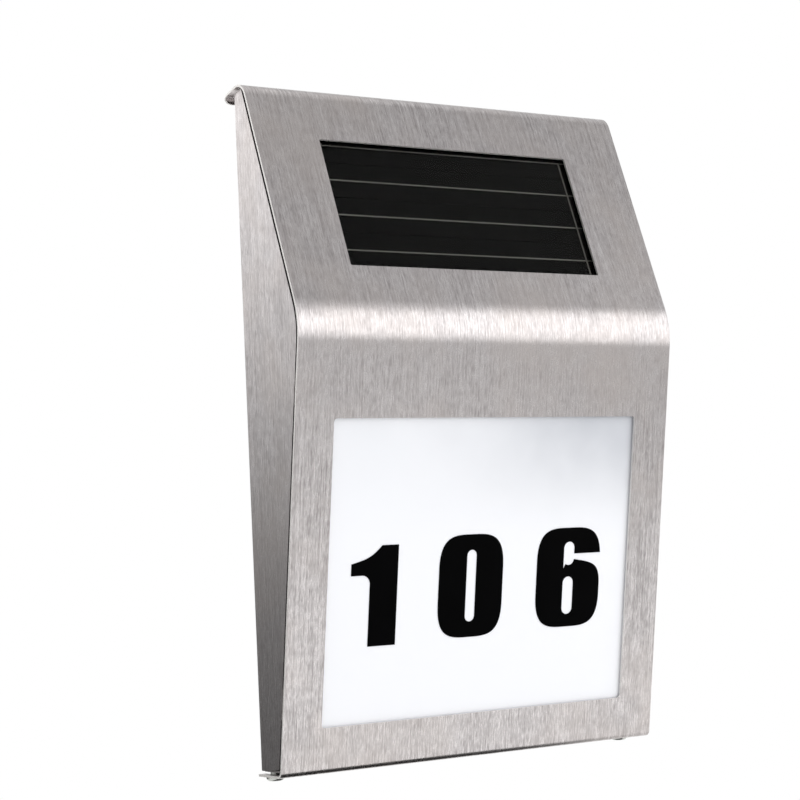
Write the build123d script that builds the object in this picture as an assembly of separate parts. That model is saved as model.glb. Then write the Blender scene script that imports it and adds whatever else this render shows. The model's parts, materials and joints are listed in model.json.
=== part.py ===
from build123d import *
import os
from math import acos, cos, degrees, hypot, radians, sin, sqrt, tan

# All lengths are in millimetres. The sign is drawn with X to the right, Y towards the wall and Z up.
# Y is 0 on the rear of the back plate and Z is 0 under the bottom lip.
# Every piece is moved at the end to the frame of the four wall holes.

# Front cover, one bent sheet. Its sizes are taken on the outer side.
sheet = 0.6
cover_width = 120.0
upper_height = 66.1
head_depth = 7.2
bend_height = 116.5
bend_depth = 32.8
foot_depth = 13.1
lip_gap = 1.0
head_radius = 5.0
bend_radius = 22.0
foot_radius = 1.8
hook_reach = 3.2
hook_fall = 2.6
hook_tail = 2.1
hook_radius = 2.2
hook_corner = 2.0

# Windows in the cover: the strips of sheet left round them, measured along the slope
solar_window_side = 19.8
solar_window_top = 16.8
solar_window_foot = 16.0
solar_window_shift = -0.65
solar_window_corner = 0.4
number_window_side = 11.3
number_window_top = 25.4
number_window_foot = 12.1
number_window_corner = 1.0

# Back tray
tray_inset = 1.0
tray_edge_gap = 2.4
tray_head_gap = 0.45
tray_bend = 1.2
tray_foot = 1.2
tray_foot_rise = 0.95
tray_foot_corner = 1.5
tray_head_corner = 3.0
tray_front_corner = 1.0
tray_flange_depth = 9.5
tray_flange_height = 1.1
tray_flange_gap = 0.3
tray_flange_relief = 4.0
hook_clearance = 0.2

# Wall pads and their holes
pad_height = 3.5
pad_rim_radius = 11.2
pad_face_radius = 9.0
wall_hole_radius = 2.25
wall_hole_side = 25.0
wall_hole_low = 40.0
wall_hole_top = 32.6

# Cover screws
screw_side = 3.6
screw_y = -3.4
screw_radius = 1.25
screw_head_radius = 2.35
screw_head_height = 1.2
screw_head_round = 0.9
screw_slack = 0.1
screw_slot_clearance = 0.15
screw_recess_width = 0.6
screw_recess_length = 2.4
screw_recess_depth = 0.6
collar_radius = 1.85
collar_height = 1.5
screw_length = 5.0

# Weld studs, washers and nuts on the inside of the cover
stud_radius = 1.25
stud_length = 7.0
stud_side = 5.1
washer_radius = 2.6
washer_thickness = 0.5
nut_flats = 5.0
nut_height = 2.0
lug_thickness = 2.0
lug_height = 8.0
lug_end_gap = 0.8
lug_hole_clearance = 0.15
housing_lug_inset = 10.0
box_lug_inset = 12.0

# Mounting tape behind both windows
tape_thickness = 0.5
tape_set_back = 1.0
tape_rim = 0.4
solar_tape_border = 2.4

# Solar panel
panel_margin = 4.6
glass_thickness = 0.9
cell_count = 4
cell_gap = 0.25
cell_side_hidden = 1.6
cell_top_hidden = 4.8
cell_foot_shown = 0.4
cell_thickness = 0.2
ribbon_width = 0.35
ribbon_thickness = 0.1
busbar_side = 1.05
busbar_width = 0.5
busbar_thickness = 0.1
busbar_tail = 4.5
solar_board_thickness = 1.2
board_border = 1.9

# Upper housing
housing_side = 11.5
housing_start = 7.1
housing_end_gap = 7.75
housing_floor_drop = 5.0
housing_wall = 1.6
housing_back_wall = 2.4
back_gap = 2.0
panel_pocket_clearance = 0.2
panel_ledge = 1.8

# Battery, its bay and its sliding door
cell_can_radius = 7.0
cell_sleeve = 0.25
cell_can_length = 49.0
cell_nipple_radius = 2.7
cell_nipple_height = 1.2
sleeve_end_gap = 0.6
bay_side = 6.4
bay_wall = 1.2
bay_lift = 5.6
battery_clearance = 0.3
contact_thickness = 0.4
contact_size = 9.0
contact_stud_radius = 0.8
contact_stud_reach = 0.6
spring_wire_radius = 0.3
spring_turns = 3
spring_length = 4.8
spring_radius = 2.6
door_thickness = 1.2
door_margin_x = 3.0
door_margin_z = 2.2
door_clearance = 0.15
door_rail_thickness = 0.5
door_rail_reach = 0.8
door_grip_count = 4
door_grip_start = 3.0
door_grip_pitch = 2.2
door_grip_width = 0.8
door_grip_depth = 0.4
battery_hole_inset = 2.0

# Circuit board and its parts
board_side_gap = 1.9
board_front_gap = 1.9
board_back_gap = 1.5
board_thickness = 1.6
board_lift = 2.4
board_screw_inset = 8.0
board_screw_radius = 1.0
board_screw_head_radius = 2.0
board_screw_head_height = 1.4
board_screw_slot_width = 0.5
board_screw_slot_depth = 0.5
board_screw_length = 4.4
pillar_radius = 2.2
led_count = 4
led_screw_gap = 7.0
led_radius = 2.5
led_length = 8.2
led_rim = 0.45
led_rim_height = 1.0
led_forward = 1.0
led_stand = 0.8
led_lead_size = 0.5
led_lead_pitch = 2.54
led_lead_tail = 1.2
led_hole_clearance = 0.3
parts_back = 4.8
chip_x = -3.0
chip_size = (5.0, 4.0, 1.4)
choke_x = 10.0
choke_radius = 1.5
choke_length = 8.0
capacitor_x = 21.0
capacitor_radius = 2.0
capacitor_height = 4.2
capacitor_round = 0.3

# Slide switch
switch_side = 9.0
switch_body_size = (8.6, 3.6, 4.4)
slider_width = 1.8
slider_height = 1.8
slider_travel = 2.0
slider_stand = 1.2
slider_clearance = 0.2
switch_well_depth = 1.5
pin_size = 0.5
pin_pitch = 2.5
pin_length = 3.0

# Light box and diffuser
box_side = 8.1
box_wall = 1.6
box_top_gap = 1.0
box_foot_gap = 6.15
diffuser_margin = 1.8
diffuser_thickness = 2.0
diffuser_clearance = 0.15
diffuser_ledge = 2.0

# Numerals, measured from the number window's lower edge and middle line
digit_thickness = 0.15
bowl_fullness = 1.3
one_x = -35.4
one_rise = 20.4
one_height = 26.7
one_stem_width = 8.4
one_head_width = 5.0
one_flag_reach = 5.8
one_flag_top = 22.0
one_flag_middle = 23.9
one_flag_foot = 18.9
one_flag_round = 2.4
one_flag_slope = 0.25
zero_x = -3.7
zero_rise = 20.9
zero_height = 28.0
zero_width = 20.6
zero_straight = 9.0
zero_slot_height = 19.6
zero_slot_width = 3.1
six_x = 28.8
six_rise = 21.7
six_height = 27.8
six_width = 21.6
six_straight = 9.0
six_slot_width = 3.6
six_slot_height = 10.6
six_slot_rise = 3.5
six_gap_height = 6.6
six_gap_rise = 17.3
six_hook_foot = 20.5
six_bowl_shoulder = 9.3
six_bowl_crown = 3.0
six_bowl_top = 18.7
six_bowl_high = 16.6
six_bowl_notch = 16.2
six_bowl_foot = 11.5
six_bowl_end = (-0.4, -0.9)

# How far a cutting shape reaches past what it cuts
cut_past = 0.5

# Wires
wire_radius = 0.55
solar_wire_gap = 4.2
solar_wire_pitch = 1.6
solar_wire_rise = 11.7
solar_wire_belly = 1.0
battery_wire_reach = 3.3
battery_wire_belly = 0.4
battery_wire_bend = 4.0
switch_wire_drop = 1.4

# Values that follow from the sizes above
head_height = bend_height + upper_height
upper_length = hypot(bend_depth - head_depth, upper_height)
lower_length = hypot(bend_depth - foot_depth, bend_height)
back_plate_front = -sheet
boxes_back = back_plate_front - back_gap
tape_depth = sheet + tape_thickness
head_point = (-head_depth, head_height)
bend_point = (-bend_depth, bend_height)
foot_point = (-foot_depth, 0.0)
hook_point = (hook_reach, head_height - hook_fall)
tail_point = (hook_reach, head_height - hook_fall - hook_tail)
lip_point = (-lip_gap, 0.0)
solar_window_width = cover_width - 2 * solar_window_side
solar_window_height = upper_length - solar_window_top - solar_window_foot
solar_window_down = solar_window_top + solar_window_height / 2
number_window_width = cover_width - 2 * number_window_side
number_window_height = lower_length - number_window_top - number_window_foot
number_window_down = number_window_top + number_window_height / 2
wall_hole_x = cover_width / 2 - wall_hole_side
wall_hole_high = head_height - wall_hole_top
wall_hole_mid = (wall_hole_low + wall_hole_high) / 2
to_wall_frame = Pos(0, -pad_height, -wall_hole_mid)
screw_x = cover_width / 2 - screw_side
stud_x = cover_width / 2 - stud_side

# Where a box or cylinder touches its own origin
at_left = (Align.MIN, Align.CENTER, Align.CENTER)
at_right = (Align.MAX, Align.CENTER, Align.CENTER)
at_left_front = (Align.MIN, Align.MIN, Align.CENTER)
at_foot = (Align.CENTER, Align.CENTER, Align.MIN)
at_head = (Align.CENTER, Align.CENTER, Align.MAX)


def direction(start, end):
    """Unit direction from one point to another in a flat drawing."""
    length = hypot(end[0] - start[0], end[1] - start[1])
    return ((end[0] - start[0]) / length, (end[1] - start[1]) / length)


def shifted_path(points, distance):
    """The same path moved to its left by a distance, with its corners mitred."""
    moved = []
    for index, point in enumerate(points):
        before = direction(points[max(index - 1, 0)], points[max(index, 1)])
        after = direction(points[min(index, len(points) - 2)], points[min(index + 1, len(points) - 1)])
        normal_before = (-before[1], before[0])
        normal_after = (-after[1], after[0])
        share = distance / (1 + normal_before[0] * normal_after[0] + normal_before[1] * normal_after[1])
        shift = (share * (normal_before[0] + normal_after[0]), share * (normal_before[1] + normal_after[1]))
        moved.append((point[0] + shift[0], point[1] + shift[1]))
    return moved


def crossing(start, end, other_start, other_end):
    """Point where the line through two points meets the line through two others."""
    along = direction(start, end)
    other = direction(other_start, other_end)
    across = along[0] * other[1] - along[1] * other[0]
    reach = ((other_start[0] - start[0]) * other[1] - (other_start[1] - start[1]) * other[0]) / across
    return (start[0] + along[0] * reach, start[1] + along[1] * reach)


def corner(before, point, after, radius):
    """Start, middle and end of the arc that rounds a corner."""
    back = direction(point, before)
    ahead = direction(point, after)
    half = acos(max(-1, min(1, back[0] * ahead[0] + back[1] * ahead[1]))) / 2
    reach = radius / tan(half)
    bisector = direction((0, 0), (back[0] + ahead[0], back[1] + ahead[1]))
    middle = radius / sin(half) - radius
    return [
        (point[0] + back[0] * reach, point[1] + back[1] * reach),
        (point[0] + bisector[0] * middle, point[1] + bisector[1] * middle),
        (point[0] + ahead[0] * reach, point[1] + ahead[1] * reach),
    ]


def rounded_edges(points, radii):
    """Lines and arcs along an open path; radii holds one value for each inner corner."""
    edges = []
    last = points[0]
    for index, radius in enumerate(radii, start=1):
        if radius <= 0:
            edges.append(Line(last, points[index]))
            last = points[index]
            continue
        start, middle, end = corner(points[index - 1], points[index], points[index + 1], radius)
        edges.append(Line(last, start))
        edges.append(ThreePointArc(start, middle, end))
        last = end
    edges.append(Line(last, points[-1]))
    return edges


def bent_sheet(points, radii, thickness):
    """Flat section of a sheet that lies to the left of a path and turns left at every bend."""
    inner = shifted_path(points, thickness)
    inner_radii = [radius - thickness for radius in radii]
    edges = rounded_edges(points, radii)
    edges.append(Line(points[-1], inner[-1]))
    edges.extend(rounded_edges(inner[::-1], inner_radii[::-1]))
    edges.append(Line(inner[0], points[0]))
    return make_face(edges)


def rounded_outline(points, radii):
    """Closed flat outline with one radius for each corner, 0 for a sharp one."""
    middle = ((points[0][0] + points[1][0]) / 2, (points[0][1] + points[1][1]) / 2)
    loop = [middle] + points[1:] + [points[0], middle]
    return make_face(rounded_edges(loop, radii[1:] + radii[:1]))


def along_x(section, width):
    """A section drawn in Y and Z, made into a piece of a width centred on X."""
    return extrude(Plane.YZ * section, amount=width / 2, both=True)


def face_plane(top, bottom, down, shift=0.0):
    """Plane on the cover's outer side, its X to the right, its Y up the slope, its Z outwards."""
    slope = direction(top, bottom)
    origin = (shift, top[0] + slope[0] * down, top[1] + slope[1] * down)
    return Plane(origin=origin, x_dir=(1, 0, 0), z_dir=(0, slope[1], -slope[0]))


def slab(plane, width, height, near, far, x=0.0, up=0.0, radius=0.0):
    """A plate between two depths below a plane on the cover's outer side."""
    outline = RectangleRounded(width, height, radius) if radius > 0 else Rectangle(width, height)
    return plane * Pos(x, up, -far) * extrude(outline, amount=far - near)


def peg(plane, radius, near, far, x=0.0, up=0.0):
    """A round peg between two depths below a plane."""
    return plane * Pos(x, up, -far) * extrude(Circle(radius), amount=far - near)


upper_face = face_plane(head_point, bend_point, 0.0)
solar_face = face_plane(head_point, bend_point, solar_window_down, solar_window_shift)
lower_face = face_plane(bend_point, foot_point, 0.0)
number_face = face_plane(bend_point, foot_point, number_window_down)


def depth_point(top, bottom, down, depth):
    """Y and Z of a point down the slope and below the cover's outer side."""
    slope = direction(top, bottom)
    return (top[0] + slope[0] * down - slope[1] * depth, top[1] + slope[1] * down + slope[0] * depth)


def hook_underside(y):
    """Height of the hook strip's underside at a depth."""
    fall = hook_fall / (hook_reach + head_depth)
    return head_height - fall * (y + head_depth) - sheet * sqrt(1 + fall * fall)


plate_top = hook_underside(-sheet / 2) - hook_clearance


def front_cover():
    """Bent front sheet with its two windows, its hook and its slotted lip."""
    path = [tail_point, hook_point, head_point, bend_point, foot_point, lip_point]
    radii = [hook_radius, head_radius, bend_radius, foot_radius]
    cover = along_x(bent_sheet(path, radii, sheet), cover_width)
    for face, width, height, radius in (
        (solar_face, solar_window_width, solar_window_height, solar_window_corner),
        (number_face, number_window_width, number_window_height, number_window_corner),
    ):
        cover -= slab(face, width, height, -cut_past, sheet + cut_past, radius=radius)
    slot_radius = screw_radius + screw_slot_clearance
    for side in (-1, 1):
        slot = Pos(side * screw_x, screw_y, 0) * Cylinder(slot_radius, 4 * sheet)
        slot += Pos(side * screw_x, screw_y / 2, 0) * Box(2 * slot_radius, -screw_y, 4 * sheet)
        cover -= slot
        block = Box(2 * hook_corner, 3 * sheet, 2 * hook_corner)
        block -= Pos(-side * hook_corner, 0, hook_corner) * Rot(90, 0, 0) * Cylinder(hook_corner, 4 * sheet)
        cover -= Pos(side * cover_width / 2, hook_reach - sheet / 2, tail_point[1]) * block
    return cover


def back_tray():
    """Back plate with its side and bottom flanges, screw collars and pressed wall pads."""
    half = cover_width / 2 - tray_inset
    reach = 2 * bend_depth
    channel_path = [(half, -reach), (half, 0), (-half, 0), (-half, -reach)]
    channel = extrude(bent_sheet(channel_path, [tray_bend, tray_bend], sheet), amount=head_height)
    front_inset = sheet + tray_edge_gap
    strip = shifted_path([hook_point, head_point], sheet + tray_head_gap)
    front = shifted_path([head_point, bend_point, foot_point], front_inset)
    head_front = crossing(strip[0], strip[1], front[0], front[1])
    head_back = crossing(strip[0], strip[1], (0.0, 0.0), (0.0, head_height))
    foot_rise = tray_foot + tray_foot_rise
    front_foot = crossing(front[1], front[2], (0.0, foot_rise), (bend_depth, foot_rise))
    outline = rounded_outline(
        [(0.0, tray_foot), head_back, head_front, front[1], front_foot],
        [tray_foot_corner, tray_head_corner, tray_front_corner, bend_radius - front_inset, 0],
    )
    tray = channel & along_x(outline, 2 * half)
    flange_width = 2 * (half - sheet - tray_flange_gap)
    tray -= Pos(0, -sheet / 2, 0) * Box(flange_width, 2 * sheet, 2 * tray_flange_relief)
    plate_width = 2 * (half - tray_bend - tray_head_corner)
    tray += Pos(0, -sheet / 2, plate_top - tray_head_corner) * Box(plate_width, sheet, 2 * tray_head_corner)
    flange_edge = (-tray_flange_depth, tray_flange_height)
    flange_path = [flange_edge, (0.0, tray_flange_height), (0.0, 2 * tray_flange_relief)]
    tray += along_x(bent_sheet(flange_path, [tray_bend], sheet), flange_width)
    flange_top = tray_flange_height + sheet
    for side in (-1, 1):
        collar = Cylinder(collar_radius, collar_height, align=at_foot)
        tray += Pos(side * screw_x, screw_y, flange_top) * collar
        tray -= Pos(side * screw_x, screw_y, flange_top) * Cylinder(screw_radius, 4 * collar_height)
    taper = degrees(acos(pad_height / hypot(pad_height, pad_rim_radius - pad_face_radius)))
    wall_shift = sheet * (1 - sin(radians(taper))) / cos(radians(taper))
    for x in (-wall_hole_x, wall_hole_x):
        for z in (wall_hole_low, wall_hole_high):
            hole_plane = Plane(origin=(x, 0, z), x_dir=(1, 0, 0), z_dir=(0, 1, 0))
            pad = Cone(pad_rim_radius, pad_face_radius, pad_height, align=at_foot)
            tray += hole_plane * pad
            recess = Cone(
                pad_rim_radius - wall_shift,
                pad_face_radius - wall_shift,
                pad_height,
                align=at_foot,
            )
            tray -= hole_plane * Pos(0, 0, -sheet) * recess
            tray -= hole_plane * Cylinder(wall_hole_radius, 4 * pad_height)
    return tray


def cover_screws():
    """Two pan head screws that hold the lip from below."""
    screws = []
    for side in (-1, 1):
        head = Cylinder(screw_head_radius, screw_head_height, align=at_head)
        head = fillet(head.edges().group_by(Axis.Z)[0], screw_head_round)
        shank = Cylinder(screw_radius, screw_length, align=at_foot)
        screw = head + shank
        for turn in (0, 90):
            cut = Box(screw_recess_length, screw_recess_width, 2 * screw_recess_depth)
            screw -= Pos(0, 0, -screw_head_height) * Rot(0, 0, turn) * cut
        screws.append(Pos(side * screw_x, screw_y, -screw_slack) * screw)
    return screws


def housing_lugs_down():
    """Distances of the upper housing's lugs below the head."""
    return (housing_start + housing_lug_inset, upper_length - housing_end_gap - housing_lug_inset)


def box_lugs_down():
    """Distances of the light box's lugs below the bend."""
    return (housing_floor_drop + box_top_gap + box_lug_inset, lower_length - box_foot_gap - box_lug_inset)


def stud_places():
    """Plane and position of each weld stud."""
    places = []
    for side in (-1, 1):
        for down in housing_lugs_down():
            places.append((upper_face, side * stud_x, -down))
        for down in box_lugs_down():
            places.append((lower_face, side * stud_x, -down))
    return places


def cover_studs():
    """Threaded studs welded to the inside of the sheet."""
    studs = []
    for plane, x, up in stud_places():
        studs.append(peg(plane, stud_radius, sheet, sheet + stud_length, x, up))
    return studs


def stud_washers():
    """Plain washers between the lugs and the nuts."""
    washers = []
    near = sheet + lug_thickness
    for plane, x, up in stud_places():
        ring = peg(plane, washer_radius, near, near + washer_thickness, x, up)
        ring -= peg(plane, stud_radius, near - cut_past, near + washer_thickness + cut_past, x, up)
        washers.append(ring)
    return washers


def stud_nuts():
    """Hexagon nuts on the studs, their flats towards the side flanges."""
    nuts = []
    near = sheet + lug_thickness + washer_thickness
    for plane, x, up in stud_places():
        hexagon = Rot(0, 0, 30) * RegularPolygon(nut_flats / 2, 6, major_radius=False)
        nut = plane * Pos(x, up, -near - nut_height) * extrude(hexagon, amount=nut_height)
        nut -= peg(plane, stud_radius, near - cut_past, near + nut_height + cut_past, x, up)
        nuts.append(nut)
    return nuts


cell_array_height = solar_window_height + cell_top_hidden - cell_foot_shown
cell_array_up = (cell_top_hidden + cell_foot_shown) / 2
cell_pitch = cell_array_height / cell_count
cell_length = solar_window_width + 2 * cell_side_hidden
panel_width = solar_window_width + 2 * panel_margin
panel_height = cell_array_height + 2 * board_border
housing_width = cover_width - 2 * housing_side
ribbon_depth = tape_depth + glass_thickness + busbar_thickness
cell_depth = ribbon_depth + ribbon_thickness
solar_board_depth = cell_depth + cell_thickness
panel_back = solar_board_depth + solar_board_thickness


def solar_tape():
    """Black foam tape frame between the sheet and the upper housing."""
    width = housing_width - 2 * tape_rim
    height = panel_height + 2 * solar_tape_border
    tape = slab(solar_face, width, height, sheet, tape_depth, x=-solar_window_shift, up=cell_array_up)
    tape -= slab(
        solar_face,
        solar_window_width + 2 * tape_set_back,
        solar_window_height + 2 * tape_set_back,
        0,
        2 * tape_depth,
    )
    return tape


def solar_glass():
    """Clear front of the solar panel."""
    back = tape_depth + glass_thickness
    return slab(solar_face, panel_width, panel_height, tape_depth, back, up=cell_array_up)


def cell_ups():
    """Height of each cell's middle line over the window's middle."""
    first = cell_array_up - cell_pitch * (cell_count - 1) / 2
    return [first + cell_pitch * index for index in range(cell_count)]


def solar_cells():
    """Long solar cells, one above the other."""
    cells = []
    for up in cell_ups():
        height = cell_pitch - cell_gap
        cells.append(slab(solar_face, cell_length, height, cell_depth, solar_board_depth, up=up))
    return cells


def cell_ribbons():
    """One thin metal ribbon along the middle of each cell."""
    ribbons = []
    for up in cell_ups():
        ribbons.append(slab(solar_face, cell_length, ribbon_width, ribbon_depth, cell_depth, up=up))
    return ribbons


def cell_busbar():
    """Metal strip that joins the ribbons near the panel's right end."""
    x = solar_window_width / 2 - busbar_side
    high = max(cell_ups()) + ribbon_width / 2
    low = min(cell_ups()) - busbar_tail
    near = tape_depth + glass_thickness
    return slab(solar_face, busbar_width, high - low, near, ribbon_depth, x=x, up=(high + low) / 2)


def solar_board():
    """Board that carries the cells."""
    return slab(solar_face, panel_width, panel_height, solar_board_depth, panel_back, up=cell_array_up)


housing_back_inner = boxes_back - housing_back_wall
housing_floor = bend_height - housing_floor_drop
housing_end = upper_length - housing_end_gap
housing_front = -depth_point(head_point, bend_point, housing_end, tape_depth)[0]
battery_radius = cell_can_radius + cell_sleeve
battery_y = housing_back_inner - battery_clearance - battery_radius
bay_half_height = battery_radius + battery_clearance
bay_length = 2 * contact_thickness + spring_length + cell_can_length + cell_nipple_height
bay_right = housing_width / 2 - housing_wall - bay_side
bay_left = bay_right - bay_length
housing_floor_inner = housing_floor + housing_wall
board_bottom = housing_floor_inner + board_lift
board_top = board_bottom + board_thickness
board_length = housing_width - 2 * housing_wall - 2 * board_side_gap
board_back = housing_back_inner - board_back_gap
board_front = -housing_front + housing_wall + board_front_gap
board_depth = board_back - board_front
board_mid_y = (board_back + board_front) / 2
board_screw_x = board_length / 2 - board_screw_inset
parts_y = board_mid_y + parts_back
battery_z = board_top + bay_lift + bay_wall + bay_half_height
door_right = housing_width / 2
door_left = bay_left - door_margin_x
door_half_height = bay_half_height + door_margin_z
led_y = board_mid_y - led_forward
led_top = board_bottom - led_stand
led_spacing = 2 * (board_screw_x - led_screw_gap) / (led_count - 1)
led_xs = [led_spacing * (index - (led_count - 1) / 2) for index in range(led_count)]
switch_x = -housing_width / 2 + switch_side
switch_z = battery_z
box_width = cover_width - 2 * box_side
diffuser_width = number_window_width + 2 * diffuser_margin
diffuser_height = number_window_height + 2 * diffuser_margin


def housing_section(depth, wall):
    """Side outline of the upper housing, or of its hollow with a wall thickness."""
    top = depth_point(head_point, bend_point, housing_start + 2 * wall, depth)
    low = depth_point(head_point, bend_point, housing_end, tape_depth)
    front = low[0] + wall
    slope = direction(head_point, bend_point)
    line = depth_point(head_point, bend_point, 0, depth)
    low_z = line[1] + slope[1] / slope[0] * (front - line[0])
    back = boxes_back if wall == 0 else housing_back_inner
    floor = housing_floor + wall
    return make_face(Polyline((back, floor), (back, top[1]), top, (front, low_z), (front, floor), close=True))


def lugs(plane, downs, inner_edge):
    """Ears with a hole that sit on the weld studs on both sides of a box."""
    parts = []
    outer_edge = cover_width / 2 - tray_inset - sheet - lug_end_gap
    for side in (-1, 1):
        for down in downs:
            ear = slab(
                plane,
                outer_edge - inner_edge,
                lug_height,
                sheet,
                sheet + lug_thickness,
                x=side * (outer_edge + inner_edge) / 2,
                up=-down,
            )
            ear -= peg(plane, stud_radius + lug_hole_clearance, 0, 2 * lug_thickness, side * stud_x, -down)
            parts.append(ear)
    return parts


def upper_housing():
    """Black box behind the solar panel with the battery bay and the board bay."""
    housing = along_x(housing_section(tape_depth, 0), housing_width)
    shelf_depth = panel_back + housing_wall
    hollow = along_x(housing_section(shelf_depth, housing_wall), housing_width - 2 * housing_wall)
    bay_low = battery_z - bay_half_height
    bay_mid = (bay_left + bay_right) / 2
    for wall_x in (bay_left - bay_wall / 2, bay_right + bay_wall / 2):
        end_wall = Box(bay_wall, 4 * bend_depth, 2 * bay_half_height + 2 * bay_wall)
        hollow -= Pos(wall_x, 0, battery_z) * end_wall
    bay_base = Box(bay_length + 2 * bay_wall, 4 * bend_depth, bay_wall)
    hollow -= Pos(bay_mid, 0, bay_low - bay_wall / 2) * bay_base
    housing -= hollow
    pocket = 2 * panel_pocket_clearance
    housing -= slab(solar_face, panel_width + pocket, panel_height + pocket, 0, panel_back, up=cell_array_up)
    ledge = 2 * panel_ledge
    opening = slab(
        solar_face, panel_width - ledge, panel_height - ledge, 0, shelf_depth + cut_past, up=cell_array_up
    )
    housing -= opening
    hole_length = bay_length - 2 * battery_hole_inset
    hole = Box(hole_length, 3 * housing_back_wall, 2 * (battery_radius + door_clearance))
    housing -= Pos(bay_mid, boxes_back, battery_z) * hole
    recess_left = door_left - door_clearance
    recess_length = door_right - recess_left + cut_past
    recess_half_height = door_half_height + door_clearance
    recess_place = Pos(recess_left, boxes_back, battery_z)
    recess = Box(recess_length, 2 * door_thickness, 2 * recess_half_height, align=at_left)
    housing -= recess_place * recess
    groove_depth = door_rail_thickness + door_clearance
    groove_half_height = recess_half_height + door_rail_reach
    groove = Box(recess_length, groove_depth, 2 * groove_half_height, align=at_left_front)
    housing -= recess_place * Pos(0, -door_thickness, 0) * groove
    for wall_x in (bay_left, bay_right):
        rivet_hole = Cylinder(contact_stud_radius, 4 * bay_wall)
        housing -= Pos(wall_x, battery_y, battery_z) * Rot(0, 90, 0) * rivet_hole
    slot_length = slider_width + slider_travel + 2 * slider_clearance
    slot = Box(slot_length, 3 * housing_back_wall, slider_height + 2 * slider_clearance)
    housing -= Pos(switch_x + slider_travel / 2, boxes_back, switch_z) * slot
    for x in led_xs:
        housing -= Pos(x, led_y, housing_floor) * Cylinder(led_radius + led_hole_clearance, 6 * housing_wall)
    for side in (-1, 1):
        pillar = Cylinder(pillar_radius, board_lift, align=at_foot)
        housing += Pos(side * board_screw_x, board_mid_y, housing_floor_inner) * pillar
        pilot = Cylinder(board_screw_radius, 2 * board_screw_length)
        housing -= Pos(side * board_screw_x, board_mid_y, board_bottom) * pilot
    for ear in lugs(upper_face, housing_lugs_down(), housing_width / 2):
        housing += ear
    return housing


def battery_door():
    """Sliding door over the battery bay with a rail along both long edges."""
    length = door_right - door_left
    door = Box(length, door_thickness, 2 * door_half_height, align=(Align.MAX, Align.MAX, Align.CENTER))
    rail_half_height = door_half_height + door_rail_reach
    rails = Box(length, door_rail_thickness, 2 * rail_half_height, align=(Align.MAX, Align.MIN, Align.CENTER))
    door += Pos(0, -door_thickness, 0) * rails
    for index in range(door_grip_count):
        x = -door_grip_start - door_grip_pitch * index
        door -= Pos(x, 0, 0) * Box(door_grip_width, 2 * door_grip_depth, door_half_height)
    return Pos(door_right, boxes_back, battery_z) * door


def battery_can():
    """Rechargeable round cell without its sleeve."""
    can = Cylinder(cell_can_radius, cell_can_length)
    nipple = Cylinder(cell_nipple_radius, cell_nipple_height, align=at_foot)
    can += Pos(0, 0, cell_can_length / 2) * nipple
    return can


def battery_place():
    """Where the battery's middle is: its nipple meets the plus contact."""
    middle = bay_right - contact_thickness - cell_nipple_height - cell_can_length / 2
    return Pos(middle, battery_y, battery_z) * Rot(0, 90, 0)


def battery_sleeve():
    """Printed plastic sleeve round the battery."""
    tube = Cylinder(battery_radius, cell_can_length - 2 * sleeve_end_gap)
    tube -= Cylinder(cell_can_radius, cell_can_length)
    return tube


def contact(side):
    """Flat contact against a bay wall with a rivet through it; side is 1 for the right end."""
    face = bay_right if side > 0 else bay_left
    plate = Box(contact_thickness, contact_size, contact_size, align=at_right)
    rivet = Cylinder(contact_stud_radius, bay_wall + contact_stud_reach, align=at_foot)
    piece = plate + Rot(0, 90, 0) * rivet
    if side < 0:
        piece = Rot(0, 0, 180) * piece
    return Pos(face, battery_y, battery_z) * piece


def contact_plus():
    """Contact at the battery's plus end."""
    return contact(1)


def contact_minus():
    """Contact behind the spring at the battery's minus end."""
    return contact(-1)


def contact_spring():
    """Coil spring at the battery's minus end."""
    start = bay_left + contact_thickness + spring_wire_radius
    end = bay_right - contact_thickness - cell_nipple_height - cell_can_length - spring_wire_radius
    path = Helix((end - start) / spring_turns, end - start, spring_radius)
    profile = Plane(origin=path @ 0, z_dir=path % 0) * Circle(spring_wire_radius)
    coil = sweep(profile, path)
    return Pos(start, battery_y, battery_z) * Rot(0, 90, 0) * coil


def circuit_board():
    """Driver board over the housing's floor."""
    board = Box(board_length, board_depth, board_thickness, align=at_foot)
    board = Pos(0, board_mid_y, board_bottom) * board
    for side in (-1, 1):
        hole = Cylinder(board_screw_radius + lug_hole_clearance, 4 * board_thickness)
        board -= Pos(side * board_screw_x, board_mid_y, board_top) * hole
    for x in led_xs:
        for side in (-1, 1):
            hole = Box(led_lead_size, led_lead_size, 4 * board_thickness)
            board -= Pos(x + side * led_lead_pitch / 2, led_y, board_top) * hole
    return board


def board_screws():
    """Two small screws that hold the board on its pillars."""
    screws = []
    for side in (-1, 1):
        head = Cylinder(board_screw_head_radius, board_screw_head_height, align=at_foot)
        head = fillet(head.edges().group_by(Axis.Z)[-1], board_screw_head_height / 2)
        screw = head + Cylinder(board_screw_radius, board_screw_length, align=at_head)
        slot = Box(3 * board_screw_head_radius, board_screw_slot_width, 2 * board_screw_slot_depth)
        screw -= Pos(0, 0, board_screw_head_height) * slot
        screws.append(Pos(side * board_screw_x, board_mid_y, board_top) * screw)
    return screws


def leds():
    """Round white lamps that shine down into the light box."""
    lamps = []
    for x in led_xs:
        body = Cylinder(led_radius, led_length - led_radius, align=at_head)
        dome = Pos(0, 0, led_radius - led_length) * Sphere(led_radius)
        rim = Cylinder(led_radius + led_rim, led_rim_height, align=at_head)
        lamps.append(Pos(x, led_y, led_top) * (body + dome + rim))
    return lamps


def led_leads():
    """Two square leads on each lamp, soldered through the board."""
    leads = []
    length = led_stand + board_thickness + led_lead_tail
    for x in led_xs:
        for side in (-1, 1):
            bar = Box(led_lead_size, led_lead_size, length, align=at_foot)
            leads.append(Pos(x + side * led_lead_pitch / 2, led_y, led_top) * bar)
    return leads


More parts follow.
